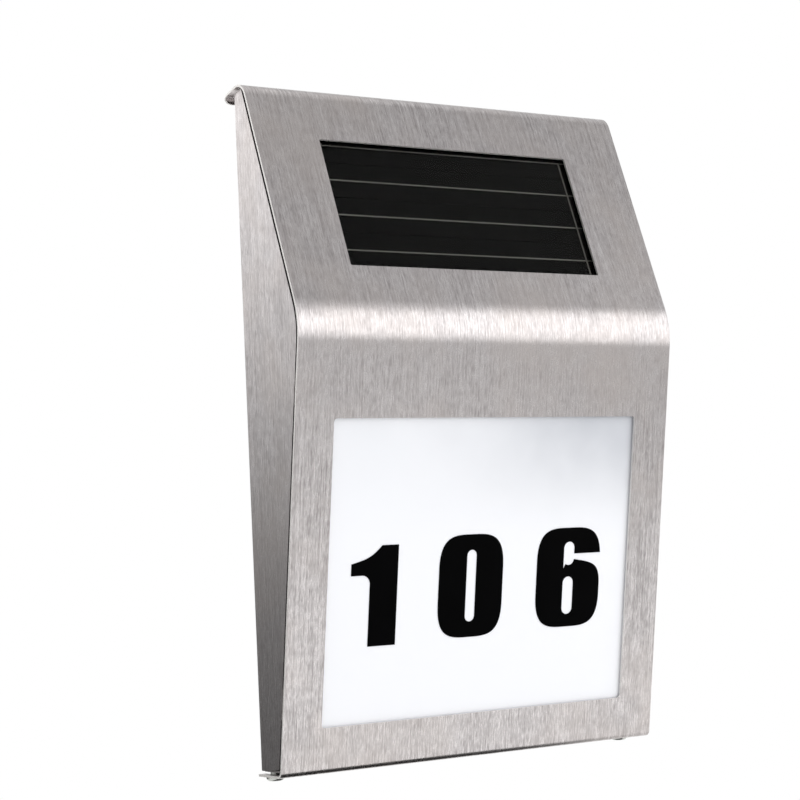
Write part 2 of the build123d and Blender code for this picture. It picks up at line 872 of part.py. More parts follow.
def driver_chip():
    """Small driver chip on the board."""
    return Pos(chip_x, parts_y, board_top) * Box(*chip_size, align=at_foot)


def choke():
    """Round choke that lies on the board."""
    core = Cylinder(choke_radius, choke_length)
    return Pos(choke_x, parts_y, board_top + choke_radius) * Rot(0, 90, 0) * core


def capacitor():
    """Small standing capacitor on the board."""
    body = Cylinder(capacitor_radius, capacitor_height, align=at_foot)
    body = fillet(body.edges().group_by(Axis.Z)[-1], capacitor_round)
    return Pos(capacitor_x, parts_y, board_top) * body


def switch_body():
    """Body of the slide switch behind the housing's rear wall."""
    width, depth, height = switch_body_size
    body = Pos(0, -depth / 2, 0) * Box(width, depth, height)
    well_width = slider_width + slider_travel + 2 * slider_clearance
    body -= Box(well_width, 2 * switch_well_depth, slider_height + 2 * slider_clearance)
    return Pos(switch_x + slider_travel / 2, housing_back_inner, switch_z) * body


def switch_slider():
    """Knob of the slide switch in its off position."""
    back = boxes_back + slider_stand
    front = housing_back_inner - switch_well_depth + slider_clearance
    knob = Pos(0, (back + front) / 2, 0) * Box(slider_width, back - front, slider_height)
    return Pos(switch_x, 0, switch_z) * knob


def switch_pins():
    """Three pins on the back of the switch."""
    pins = []
    depth = switch_body_size[1]
    for index in (-1, 0, 1):
        pin = Box(pin_size, pin_length, pin_size, align=(Align.CENTER, Align.MAX, Align.CENTER))
        x = switch_x + slider_travel / 2 + index * pin_pitch
        pins.append(Pos(x, housing_back_inner - depth, switch_z) * pin)
    return pins


box_top = housing_floor - box_top_gap


def box_section(depth, wall):
    """Side outline of the light box, or of its hollow with a wall thickness."""
    slope = direction(bend_point, foot_point)
    line = depth_point(bend_point, foot_point, 0, depth)
    top = box_top - wall
    low = depth_point(bend_point, foot_point, lower_length - box_foot_gap, tape_depth)[1] + wall
    top_front = line[0] + slope[0] / slope[1] * (top - line[1])
    low_front = line[0] + slope[0] / slope[1] * (low - line[1])
    back = boxes_back - wall
    return make_face(Polyline((back, low), (back, top), (top_front, top), (low_front, low), close=True))


diffuser_back = tape_depth + diffuser_thickness


def light_box():
    """White reflector box behind the number panel."""
    box = along_x(box_section(tape_depth, 0), box_width)
    shelf_depth = diffuser_back + box_wall
    box -= along_x(box_section(shelf_depth, box_wall), box_width - 2 * box_wall)
    room = 2 * diffuser_clearance
    box -= slab(number_face, diffuser_width + room, diffuser_height + room, 0, diffuser_back)
    ledge = 2 * diffuser_ledge
    box -= slab(number_face, diffuser_width - ledge, diffuser_height - ledge, 0, shelf_depth + cut_past)
    for x in led_xs:
        box -= Pos(x, led_y, box_top) * Cylinder(led_radius + led_hole_clearance, 4 * box_wall)
    for ear in lugs(lower_face, box_lugs_down(), box_width / 2):
        box += ear
    return box


def diffuser():
    """White panel that glows behind the numerals."""
    return slab(number_face, diffuser_width, diffuser_height, tape_depth, diffuser_back)


def diffuser_tape():
    """Thin tape frame between the sheet and the light box."""
    width = box_width - 2 * tape_rim
    tape = slab(number_face, width, diffuser_height + width - diffuser_width, sheet, tape_depth)
    tape -= slab(
        number_face,
        number_window_width + 2 * tape_set_back,
        number_window_height + 2 * tape_set_back,
        0,
        2 * tape_depth,
    )
    return tape


def sticker(outline, x, rise):
    """A numeral cut from film and stuck on the diffuser, its foot over the window's lower edge."""
    film = extrude(outline, amount=digit_thickness)
    return number_face * Pos(x, rise - number_window_height / 2, -tape_depth) * film


def digit_one():
    """Numeral one."""
    top = (one_stem_width - one_head_width, one_height)
    flag = (-one_flag_reach, one_flag_top)
    hollow = (0.0, one_flag_middle)
    inner = (-one_flag_round, one_flag_foot)
    outline = make_face(
        [
            Line((0, 0), (one_stem_width, 0)),
            Line((one_stem_width, 0), (one_stem_width, one_height)),
            Line((one_stem_width, one_height), top),
            Spline([top, hollow, flag], tangents=[(-1.0, -1.0), (-1.0, -one_flag_slope)]),
            Line(flag, (-one_flag_reach, one_flag_foot)),
            Line((-one_flag_reach, one_flag_foot), inner),
            RadiusArc(inner, (0, one_flag_foot - one_flag_round), one_flag_round),
            Line((0, one_flag_foot - one_flag_round), (0, 0)),
        ]
    )
    return sticker(outline, one_x, one_rise)


def bowl(width, height, straight):
    """Upright oval numeral body with straight sides, its foot on the base line."""
    half = width / 2
    high = height - straight
    upwards = (0, bowl_fullness)
    downwards = (0, -bowl_fullness)
    return make_face(
        [
            Line((half, straight), (half, high)),
            Spline([(half, high), (0, height), (-half, high)], tangents=[upwards, downwards]),
            Line((-half, high), (-half, straight)),
            Spline([(-half, straight), (0, 0), (half, straight)], tangents=[downwards, upwards]),
        ]
    )


def upright_slot(height, width, rise):
    """Slot with round ends, standing on a height over the base line."""
    return Pos(0, rise + height / 2) * Rot(0, 0, 90) * SlotOverall(height, width)


def digit_zero():
    """Numeral zero."""
    outline = bowl(zero_width, zero_height, zero_straight)
    outline -= upright_slot(zero_slot_height, zero_slot_width, (zero_height - zero_slot_height) / 2)
    return sticker(outline, zero_x, zero_rise)


def digit_six():
    """Numeral six."""
    outline = bowl(six_width, six_height, six_straight)
    outline -= upright_slot(six_slot_height, six_slot_width, six_slot_rise)
    outline -= upright_slot(six_gap_height, six_slot_width, six_gap_rise)
    left = -six_slot_width / 2
    outside = six_width / 2 + cut_past
    crown = [
        (six_width / 2, six_bowl_foot),
        (six_bowl_shoulder, six_bowl_high),
        (six_bowl_crown, six_bowl_top),
        (left, six_bowl_notch),
    ]
    gap = make_face(
        [
            Line((left, six_hook_foot), (outside, six_hook_foot)),
            Line((outside, six_hook_foot), (outside, six_bowl_foot)),
            Line((outside, six_bowl_foot), crown[0]),
            Spline(crown, tangents=[(0, 1), six_bowl_end]),
            Line(crown[-1], (left, six_hook_foot)),
        ]
    )
    outline -= gap
    return sticker(outline, six_x, six_rise)


def wire(points, first, last):
    """Insulated wire along a smooth path with a direction at both ends."""
    path = Spline(points, tangents=[first, last])
    profile = Plane(origin=path @ 0, z_dir=path % 0) * Circle(wire_radius)
    return sweep(profile, path)


down_z = (0, 0, -1)


def solar_wire(x):
    """Wire from the back of the solar board to the circuit board."""
    panel_foot = solar_window_down - cell_array_up + panel_height / 2
    y, z = depth_point(head_point, bend_point, panel_foot - solar_wire_rise, panel_back)
    inwards = upper_face.z_dir * -1
    end = (x, board_mid_y, board_top)
    middle = (x, (y + board_mid_y) / 2 + solar_wire_belly, (z + board_top) / 2)
    return wire([(x, y, z), middle, end], tuple(inwards), down_z)


def solar_wire_red():
    """Plus wire of the solar panel."""
    return solar_wire(bay_left - bay_wall - solar_wire_gap)


def solar_wire_black():
    """Minus wire of the solar panel."""
    return solar_wire(bay_left - bay_wall - solar_wire_gap - solar_wire_pitch)


def battery_wire(side):
    """Wire from a contact's rivet to the circuit board; side is 1 for the right end."""
    face = bay_right if side > 0 else bay_left
    start_x = face + side * (bay_wall + contact_stud_reach)
    drop_x = face + side * battery_wire_reach
    bay_foot = battery_z - bay_half_height
    points = [
        (start_x, battery_y, battery_z),
        (drop_x + side * battery_wire_belly, battery_y, battery_z - battery_wire_bend),
        (drop_x, (battery_y + parts_y) / 2, bay_foot),
        (drop_x, parts_y, board_top),
    ]
    return wire(points, (side, 0, 0), down_z)


def battery_wire_red():
    """Wire from the plus contact."""
    return battery_wire(1)


def battery_wire_black():
    """Wire from the minus contact."""
    return battery_wire(-1)


def switch_wires():
    """Two wires from the switch's pins to the circuit board."""
    wires = []
    y = housing_back_inner - switch_body_size[1] - pin_length
    for index in (-1, 0):
        x = switch_x + slider_travel / 2 + index * pin_pitch
        end = (x, y - switch_wire_drop, board_top)
        middle = (x, y - switch_wire_drop, (switch_z + board_top) / 2)
        wires.append(wire([(x, y, switch_z), middle, end], (0, -1, 0), down_z))
    return wires


pieces = {
    "front_cover": front_cover(),
    "back_tray": back_tray(),
    "cover_screws": cover_screws(),
    "cover_studs": cover_studs(),
    "stud_washers": stud_washers(),
    "stud_nuts": stud_nuts(),
    "solar_tape": solar_tape(),
    "solar_glass": solar_glass(),
    "solar_cells": solar_cells(),
    "cell_ribbons": cell_ribbons(),
    "cell_busbar": cell_busbar(),
    "solar_board": solar_board(),
    "upper_housing": upper_housing(),
    "battery_door": battery_door(),
    "battery_can": battery_place() * battery_can(),
    "battery_sleeve": battery_place() * battery_sleeve(),
    "contact_plus": contact_plus(),
    "contact_minus": contact_minus(),
    "contact_spring": contact_spring(),
    "circuit_board": circuit_board(),
    "board_screws": board_screws(),
    "leds": leds(),
    "led_leads": led_leads(),
    "driver_chip": driver_chip(),
    "choke": choke(),
    "capacitor": capacitor(),
    "switch_body": switch_body(),
    "switch_slider": switch_slider(),
    "switch_pins": switch_pins(),
    "light_box": light_box(),
    "diffuser": diffuser(),
    "diffuser_tape": diffuser_tape(),
    "digit_one": digit_one(),
    "digit_zero": digit_zero(),
    "digit_six": digit_six(),
    "solar_wire_red": solar_wire_red(),
    "solar_wire_black": solar_wire_black(),
    "battery_wire_red": battery_wire_red(),
    "battery_wire_black": battery_wire_black(),
    "switch_wires": switch_wires(),
}

os.makedirs("parts", exist_ok=True)
for name, piece in pieces.items():
    items = piece if isinstance(piece, list) else [piece]
    solids = [to_wall_frame * solid for item in items for solid in item.solids()]
    export_step(Compound(solids), f"parts/{name}.step")
    print(name, len(solids), round(sum(solid.volume for solid in solids), 1))
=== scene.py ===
"""Looks and studio of the illuminated house number sign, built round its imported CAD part.

Sizes of the sign and of its patterns are millimetres in the sign's own drawing: X to the right, Y towards
the wall with 0 on the rear of the back plate, Z up with 0 under the bottom lip. The studio is in metres, in
the frame that it shares with the CAD part.
"""

import json
import logging
import math
import sys
from collections.abc import Callable
from dataclasses import dataclass
from enum import Enum

import bmesh
import bpy
from mathutils import Matrix, Vector

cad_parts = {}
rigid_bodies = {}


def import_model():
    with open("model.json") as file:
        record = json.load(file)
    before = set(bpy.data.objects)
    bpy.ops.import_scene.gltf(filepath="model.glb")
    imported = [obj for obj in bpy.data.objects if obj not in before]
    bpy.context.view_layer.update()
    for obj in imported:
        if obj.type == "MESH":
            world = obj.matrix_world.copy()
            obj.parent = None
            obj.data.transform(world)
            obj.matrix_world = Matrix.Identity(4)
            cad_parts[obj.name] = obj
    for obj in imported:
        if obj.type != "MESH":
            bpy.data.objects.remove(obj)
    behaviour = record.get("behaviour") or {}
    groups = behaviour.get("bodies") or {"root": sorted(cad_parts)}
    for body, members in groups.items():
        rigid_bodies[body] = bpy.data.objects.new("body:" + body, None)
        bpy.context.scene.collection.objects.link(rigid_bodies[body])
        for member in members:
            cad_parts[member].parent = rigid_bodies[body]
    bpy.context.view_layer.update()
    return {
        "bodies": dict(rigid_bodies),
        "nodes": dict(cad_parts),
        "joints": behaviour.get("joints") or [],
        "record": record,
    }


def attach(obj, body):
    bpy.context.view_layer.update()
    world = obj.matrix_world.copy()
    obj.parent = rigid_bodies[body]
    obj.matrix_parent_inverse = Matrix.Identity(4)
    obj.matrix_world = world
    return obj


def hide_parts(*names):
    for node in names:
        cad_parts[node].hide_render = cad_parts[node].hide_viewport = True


MM = 0.001
# The CAD frame's origin, the middle of the four wall holes, in the sign's own drawing
ORIGIN = Vector((0.0, 3.5, 95.0))
# Edges sharper than this are rounded, and the others are shaded smooth
EDGE_ANGLE = math.radians(40)
# Points closer than this are one, in the scene's own meshes and between a CAD node's loose triangles
MERGE_GAP = 0.001 * MM
CAD_MERGE_GAP = 0.002 * MM
# CAD triangles this close to one plane are one flat face
FLAT_ANGLE = math.radians(0.4)
# Most of a noise pattern lies between these two values
NOISE_RANGE = {"From Min": 0.3, "From Max": 0.7}
log = logging.getLogger("house_number_sign")


class Body(Enum):
    """The rigid bodies of the part."""

    TRAY = "tray"
    COVER = "cover"
    DOOR = "battery_door"
    SLIDER = "switch_slider"


class Part(Enum):
    """What a pick in edit mode selects."""

    VERTS = "VERT"
    EDGES = "EDGE"
    FACES = "FACE"


class StrokeRun(Enum):
    """How the brushing runs on a sheet: whether a stroke has its length along X, Y and Z, or its width."""

    DOWN_THE_SLOPE = (False, True, True)
    UPRIGHT = (False, False, True)


def place(x: float, y: float, z: float) -> Vector:
    """Turns a point of the sign's drawing, in millimetres, to the shared frame in metres."""
    return (Vector((x, y, z)) - ORIGIN) * MM


def linear(code: str) -> tuple[float, float, float, float]:
    """Turns an sRGB hex colour to linear light.

    Args:
        code: the colour as "#RRGGBB".

    Returns:
        Red, green, blue and an alpha of 1.
    """
    channels = [int(code[i : i + 2], 16) / 255 for i in (1, 3, 5)]
    light = [c / 12.92 if c <= 0.04045 else ((c + 0.055) / 1.055) ** 2.4 for c in channels]
    return (light[0], light[1], light[2], 1.0)


# Modelling helpers


def take(obj: bpy.types.Object) -> None:
    """Selects one object alone and makes it active.

    Args:
        obj: the object to work on.
    """
    bpy.ops.object.select_all(action="DESELECT")
    obj.select_set(True)
    bpy.context.view_layer.objects.active = obj


def edit(obj: bpy.types.Object, part: Part = Part.FACES) -> None:
    """Opens an object in edit mode with nothing selected.

    Args:
        obj: the object to edit.
        part: what is picked next.
    """
    take(obj)
    bpy.ops.object.mode_set(mode="EDIT")
    bpy.ops.mesh.select_mode(type=part.value)
    bpy.ops.mesh.select_all(action="DESELECT")


def leave() -> None:
    """Goes back to object mode."""
    bpy.ops.object.mode_set(mode="OBJECT")


def pick(obj: bpy.types.Object, part: Part, test: Callable[[Vector, Vector], bool]) -> None:
    """Selects, in edit mode, what a test on place and normal says, and nothing else.

    Args:
        obj: the object being edited.
        part: vertices, edges or faces.
        test: takes the middle and the normal, or for an edge its direction, and says yes or no.
    """
    bpy.ops.mesh.select_mode(type=part.value)
    bpy.ops.mesh.select_all(action="DESELECT")
    mesh = bmesh.from_edit_mesh(obj.data)
    mesh.normal_update()
    if part is Part.FACES:
        items = [(face, face.calc_center_median(), face.normal) for face in mesh.faces]
    elif part is Part.EDGES:
        ends = [(edge, *(vert.co for vert in edge.verts)) for edge in mesh.edges]
        items = [(edge, (a + b) / 2, (b - a).normalized()) for edge, a, b in ends]
    else:
        items = [(vert, vert.co, vert.normal) for vert in mesh.verts]
    for item, middle, way in items:
        if test(middle, way):
            item.select_set(True)
    mesh.select_flush_mode()
    bmesh.update_edit_mesh(obj.data)


def settle(obj: bpy.types.Object) -> None:
    """Puts an object's place, turn and scale into its mesh.

    Args:
        obj: the object.
    """
    take(obj)
    bpy.ops.object.transform_apply(location=True, rotation=True, scale=True)


def apply(obj: bpy.types.Object, kind: str, **settings: object) -> None:
    """Adds a modifier with its settings and applies it.

    Args:
        obj: the object.
        kind: the modifier's type.
        settings: its values by name.
    """
    take(obj)
    modifier = obj.modifiers.new(kind.lower(), kind)
    for name, value in settings.items():
        setattr(modifier, name, value)
    bpy.ops.object.modifier_apply(modifier=modifier.name)


def cut(obj: bpy.types.Object, cutter: bpy.types.Object) -> None:
    """Takes a cutter out of an object and deletes the cutter.

    Args:
        obj: the object that is cut.
        cutter: the closed shape that is taken away.
    """
    apply(obj, "BOOLEAN", operation="DIFFERENCE", object=cutter, solver="EXACT")
    bpy.data.objects.remove(cutter)


def soften(obj: bpy.types.Object, width: float, material: int = -1) -> None:
    """Rounds an object's sharp edges, clears faces without area and gives flat faces their own shading.

    Args:
        obj: the object.
        width: width of the rounding in millimetres.
        material: number of the material slot that the rounding takes, or -1 for that of the faces beside it.
    """
    apply(
        obj,
        "BEVEL",
        width=width * MM,
        segments=2,
        material=material,
        limit_method="ANGLE",
        angle_limit=EDGE_ANGLE,
        use_clamp_overlap=True,
        miter_outer="MITER_ARC",
    )
    edit(obj, Part.VERTS)
    bpy.ops.mesh.select_all(action="SELECT")
    bpy.ops.mesh.dissolve_degenerate(threshold=MERGE_GAP)
    bpy.ops.mesh.remove_doubles(threshold=MERGE_GAP)
    leave()
    take(obj)
    bpy.ops.object.shade_smooth_by_angle(angle=EDGE_ANGLE)
    apply(obj, "WEIGHTED_NORMAL", weight=60, keep_sharp=True)


def merged_copy(node: bpy.types.Object, name: str) -> bpy.types.Object:
    """Copies a CAD node, joins its loose triangles and clears the edges inside flat faces.

    Args:
        node: the CAD node, which is left alone.
        name: name of the copy.

    Returns:
        The copy, at the origin.
    """
    obj = bpy.data.objects.new(name, node.data.copy())
    obj.data.name = name
    obj.data.materials.clear()
    bpy.context.scene.collection.objects.link(obj)
    edit(obj, Part.VERTS)
    bpy.ops.mesh.select_all(action="SELECT")
    bpy.ops.mesh.remove_doubles(threshold=CAD_MERGE_GAP)
    bpy.ops.mesh.dissolve_limited(angle_limit=FLAT_ANGLE)
    leave()
    return obj


# Finishes


def add_node(
    tree: bpy.types.NodeTree,
    kind: str,
    inputs: dict[str | int, object] | None = None,
    **settings: object,
) -> bpy.types.Node:
    """Adds a shader node with its settings and links.

    Args:
        tree: the node tree.
        kind: the node's type.
        inputs: by socket name or number, a value, or the output socket that is linked to it.
        settings: the node's own values by name.

    Returns:
        The node.
    """
    node = tree.nodes.new(kind)
    for name, value in settings.items():
        setattr(node, name, value)
    for name, value in (inputs or {}).items():
        if isinstance(value, bpy.types.NodeSocket):
            tree.links.new(value, node.inputs[name])
        else:
            node.inputs[name].default_value = value
    return node


def empty_material(name: str) -> tuple[bpy.types.Material, bpy.types.NodeTree]:
    """Makes a material with an empty node tree.

    Args:
        name: the material's name.

    Returns:
        The material and its node tree.
    """
    made = bpy.data.materials.new(name)
    made.use_nodes = True
    made.node_tree.nodes.clear()
    return made, made.node_tree


@dataclass(frozen=True)
class Finish:
    """A finish of the real sign, named for its material."""

    name: str

    def material(self) -> bpy.types.Material:
        """Gives the finish's material, made once.

        Returns:
            The material, which pieces of one finish share.
        """
        made = bpy.data.materials.get(self.name)
        if made is not None:
            return made
        made, tree = empty_material(self.name)
        spot = add_node(tree, "ShaderNodeTexCoord").outputs["Object"]
        surface = self.surface(tree, spot)
        add_node(tree, "ShaderNodeOutputMaterial", {"Surface": surface})
        return made

    def surface(self, tree: bpy.types.NodeTree, spot: bpy.types.NodeSocket) -> bpy.types.NodeSocket:
        """Builds the shader.

        Args:
            tree: the material's node tree.
            spot: the Object coordinates, in metres.

        Returns:
            The shader's output socket.
        """
        raise NotImplementedError


@dataclass(frozen=True)
class BrushedSteel(Finish):
    """Stainless sheet drawn past an abrasive belt.

    Short fine strokes lie side by side along the belt's run, so the steel glitters faintly and spreads each
    reflection across them, and handling leaves a soft mottling of a few millimetres. Real strokes are about
    0.05 mm wide; they are drawn wider, or they would vanish in the render.
    """

    run: StrokeRun
    light: str = "#D1CDCD"
    dark: str = "#989393"
    warm: str = "#BCB4B0"
    stroke_width: float = 0.22
    stroke_length: float = 2.2
    # The long faint streaks: how much wider and longer than a stroke, and their share beside the strokes
    streak_spread: float = 2.0
    streak_stretch: float = 8.0
    streak_share: float = 0.6
    mottle: float = 3.2
    mottle_share: float = 0.35
    # What strokes, streaks and mottling add up to at their darkest and lightest
    mix_range: tuple[float, float] = (0.76, 1.19)
    blotch: float = 30.0
    # Where in their noise the warm blotches start and are full, and how much of the warm tone they take
    blotch_range: tuple[float, float] = (0.45, 0.7)
    blotch_strength: float = 0.5
    roughness_low: float = 0.25
    roughness_high: float = 0.33
    relief: float = 0.006

    def surface(self, tree: bpy.types.NodeTree, spot: bpy.types.NodeSocket) -> bpy.types.NodeSocket:
        """Builds strokes, long faint streaks, mottling and warm blotches.

        Args:
            tree: the material's node tree.
            spot: the Object coordinates, in metres.

        Returns:
            The shader's output socket.
        """
        width, length = self.stroke_width, self.stroke_length
        fine = [1 / (MM * (length if along else width)) for along in self.run.value]
        width, length = width * self.streak_spread, length * self.streak_stretch
        wide = [1 / (MM * (length if along else width)) for along in self.run.value]
        fine_spot = add_node(tree, "ShaderNodeMapping", {"Vector": spot, "Scale": fine}).outputs[0]
        wide_spot = add_node(tree, "ShaderNodeMapping", {"Vector": spot, "Scale": wide}).outputs[0]
        strokes, streaks, mottling, blotches = (
            add_node(
                tree,
                "ShaderNodeTexNoise",
                {"Vector": where, "Scale": scale, "Detail": detail, "Roughness": roughness},
            ).outputs["Fac"]
            for where, scale, detail, roughness in (
                (fine_spot, 1.0, 3.0, 0.65),
                (wide_spot, 1.0, 2.0, 0.5),
                (spot, 1 / (MM * self.mottle), 3.0, 0.6),
                (spot, 1 / (MM * self.blotch), 3.0, 0.6),
            )
        )
        mixed = strokes
        for pattern, share in ((mottling, self.mottle_share), (streaks, self.streak_share)):
            mixed = add_node(
                tree, "ShaderNodeMath", {0: pattern, 1: share, 2: mixed}, operation="MULTIPLY_ADD"
            ).outputs[0]
        mix = {"Value": mixed, "From Min": self.mix_range[0], "From Max": self.mix_range[1]}
        shade = add_node(tree, "ShaderNodeMapRange", mix)
        tone = add_node(
            tree,
            "ShaderNodeMix",
            {0: shade.outputs[0], 6: linear(self.dark), 7: linear(self.light)},
            data_type="RGBA",
        )
        start, full = self.blotch_range
        patch = add_node(
            tree,
            "ShaderNodeMapRange",
            {"Value": blotches, "From Min": start, "From Max": full, "To Max": self.blotch_strength},
        )
        colour = add_node(
            tree,
            "ShaderNodeMix",
            {0: patch.outputs[0], 6: tone.outputs[2], 7: linear(self.warm)},
            data_type="RGBA",
        )
        roughness = add_node(
            tree,
            "ShaderNodeMapRange",
            {**mix, "To Min": self.roughness_high, "To Max": self.roughness_low},
        )
        relief = add_node(
            tree, "ShaderNodeBump", {"Height": strokes, "Strength": 1.0, "Distance": self.relief * MM}
        )
        return add_node(
            tree,
            "ShaderNodeBsdfPrincipled",
            {
                "Base Color": colour.outputs[2],
                "Metallic": 1.0,
                "Roughness": roughness.outputs[0],
                "Normal": relief.outputs[0],
            },
        ).outputs[0]


@dataclass(frozen=True)
class BareMetal(Finish):
    """Plated, tinned or cut metal: one tone with fine grains and dull spots.

    Real grains are a few hundredths of a millimetre wide; they are drawn about ten times as coarse.
    """

    light: str
    dark: str
    grain: float = 0.25
    roughness: float = 0.32
    # Share of the roughness on the brightest and on the dullest grains
    spread: tuple[float, float] = (0.75, 1.3)
    relief: float = 0.004

    def surface(self, tree: bpy.types.NodeTree, spot: bpy.types.NodeSocket) -> bpy.types.NodeSocket:
        """Builds the grain and the dull spots.

        Args:
            tree: the material's node tree.
            spot: the Object coordinates, in metres.

        Returns:
            The shader's output socket.
        """
        grains = add_node(
            tree,
            "ShaderNodeTexNoise",
            {"Vector": spot, "Scale": 1 / (MM * self.grain), "Detail": 3.0, "Roughness": 0.6},
        )
        tone = add_node(
            tree,
            "ShaderNodeMix",
            {0: grains.outputs["Fac"], 6: linear(self.dark), 7: linear(self.light)},
            data_type="RGBA",
        )
        roughness = add_node(
            tree,
            "ShaderNodeMapRange",
            {
                "Value": grains.outputs["Fac"],
                **NOISE_RANGE,
                "To Min": self.roughness * self.spread[0],
                "To Max": self.roughness * self.spread[1],
            },
        )
        relief = add_node(
            tree,
            "ShaderNodeBump",
            {"Height": grains.outputs["Fac"], "Strength": 0.6, "Distance": self.relief * MM},
        )
        return add_node(
            tree,
            "ShaderNodeBsdfPrincipled",
            {
                "Base Color": tone.outputs[2],
                "Metallic": 1.0,
                "Roughness": roughness.outputs[0],
                "Normal": relief.outputs[0],
            },
        ).outputs[0]


@dataclass(frozen=True)
class Moulded(Finish):
    """Moulded plastic, foam, lacquer or film: a body colour with fine grain and slight unevenness.

    The grain is that of the mould or the film, and soft clouds many grains wide change its tone and gloss.
    """

    colour: str
    shade: str
    grain: float = 0.35
    cloud: float = 30.0
    roughness: float = 0.45
    # Share of the roughness in the glossiest and in the dullest clouds
    spread: tuple[float, float] = (0.9, 1.12)
    relief: float = 0.01
    shine: float = 0.5
    ior: float = 1.5

    def surface(self, tree: bpy.types.NodeTree, spot: bpy.types.NodeSocket) -> bpy.types.NodeSocket:
        """Builds the grain, the uneven tone and the gloss.

        Args:
            tree: the material's node tree.
            spot: the Object coordinates, in metres.

        Returns:
            The shader's output socket.
        """
        grains = add_node(
            tree,
            "ShaderNodeTexNoise",
            {"Vector": spot, "Scale": 1 / (MM * self.grain), "Detail": 2.0, "Roughness": 0.55},
        )
        clouds = add_node(
            tree,
            "ShaderNodeTexNoise",
            {"Vector": spot, "Scale": 1 / (MM * self.grain * self.cloud), "Detail": 2.0, "Roughness": 0.5},
        )
        tone = add_node(
            tree,
            "ShaderNodeMix",
            {0: clouds.outputs["Fac"], 6: linear(self.colour), 7: linear(self.shade)},
            data_type="RGBA",
        )
        roughness = add_node(
            tree,
            "ShaderNodeMapRange",
            {
                "Value": clouds.outputs["Fac"],
                **NOISE_RANGE,
                "To Min": self.roughness * self.spread[0],
                "To Max": self.roughness * self.spread[1],
            },
        )
        relief = add_node(
            tree,
            "ShaderNodeBump",
            {"Height": grains.outputs["Fac"], "Strength": 0.7, "Distance": self.relief * MM},
        )
        return add_node(
            tree,
            "ShaderNodeBsdfPrincipled",
            {
                "Base Color": tone.outputs[2],
                "Roughness": roughness.outputs[0],
                "IOR": self.ior,
                "Specular IOR Level": self.shine,
                "Normal": relief.outputs[0],
            },
        ).outputs[0]


@dataclass(frozen=True)
class OpalPanel(Finish):
    """Satin opal acrylic with a painted glow for its faint backlight and painted shade towards its upper
    right corner.
    """

    # The painted lit tone and the painted shade tone of the panel
    painted_lit_tone: str = "#F6F7FB"
    painted_shade_tone: str = "#BFC2C9"
    # Z and X in metres where the painted shade starts and where it is full, and what is left of it at the
    # left
    painted_shade_up: tuple[float, float] = (-0.040, 0.002)
    painted_shade_right: tuple[float, float] = (-0.030, 0.052)
    painted_shade_left: float = 0.18
    cloud: float = 14.0
    # How far the clouds weaken and strengthen the painted shade
    spread: tuple[float, float] = (0.85, 1.1)
    # Strength of the painted glow, which stands for the light from behind; the panel is no lamp
    painted_glow: float = 0.07
    roughness: float = 0.38
    ior: float = 1.49
    shine: float = 0.2

    def surface(self, tree: bpy.types.NodeTree, spot: bpy.types.NodeSocket) -> bpy.types.NodeSocket:
        """Builds the painted shade for the fall of the light over the panel, the painted glow and a faint
        cloudiness.

        Args:
            tree: the material's node tree.
            spot: the Object coordinates, in metres.

        Returns:
            The shader's output socket.
        """
        parts = add_node(tree, "ShaderNodeSeparateXYZ", {0: spot})
        painted_shade_upwards = add_node(
            tree,
            "ShaderNodeMapRange",
            {"Value": parts.outputs["Z"], "From Min": self.painted_shade_up[0], "From Max": self.painted_shade_up[1]},
            interpolation_type="SMOOTHSTEP",
        )
        painted_shade_rightwards = add_node(
            tree,
            "ShaderNodeMapRange",
            {
                "Value": parts.outputs["X"],
                "From Min": self.painted_shade_right[0],
                "From Max": self.painted_shade_right[1],
                "To Min": self.painted_shade_left,
            },
            interpolation_type="SMOOTHSTEP",
        )
        clouds = add_node(
            tree, "ShaderNodeTexNoise", {"Vector": spot, "Scale": 1 / (MM * self.cloud), "Detail": 2.0}
        )
        cloudy = add_node(
            tree,
            "ShaderNodeMapRange",
            {
                "Value": clouds.outputs["Fac"],
                **NOISE_RANGE,
                "To Min": self.spread[0],
                "To Max": self.spread[1],
            },
        )
        # Painted shade: its share grows towards the top and the right of the panel, and the clouds vary it
        painted_shade_share = painted_shade_upwards
        for factor in (painted_shade_rightwards, cloudy):
            painted_shade_share = add_node(
                tree, "ShaderNodeMath", {0: painted_shade_share.outputs[0], 1: factor.outputs[0]}, operation="MULTIPLY"
            )
        tone = add_node(
            tree,
            "ShaderNodeMix",
            {0: painted_shade_share.outputs[0], 6: linear(self.painted_lit_tone), 7: linear(self.painted_shade_tone)},
            data_type="RGBA",
        )
        # The painted glow gives off the panel's painted tone as light
        return add_node(
            tree,
            "ShaderNodeBsdfPrincipled",
            {
                "Base Color": tone.outputs[2],
                "Roughness": self.roughness,
                "IOR": self.ior,
                "Specular IOR Level": self.shine,
                "Emission Color": tone.outputs[2],
                "Emission Strength": self.painted_glow,
            },
        ).outputs[0]


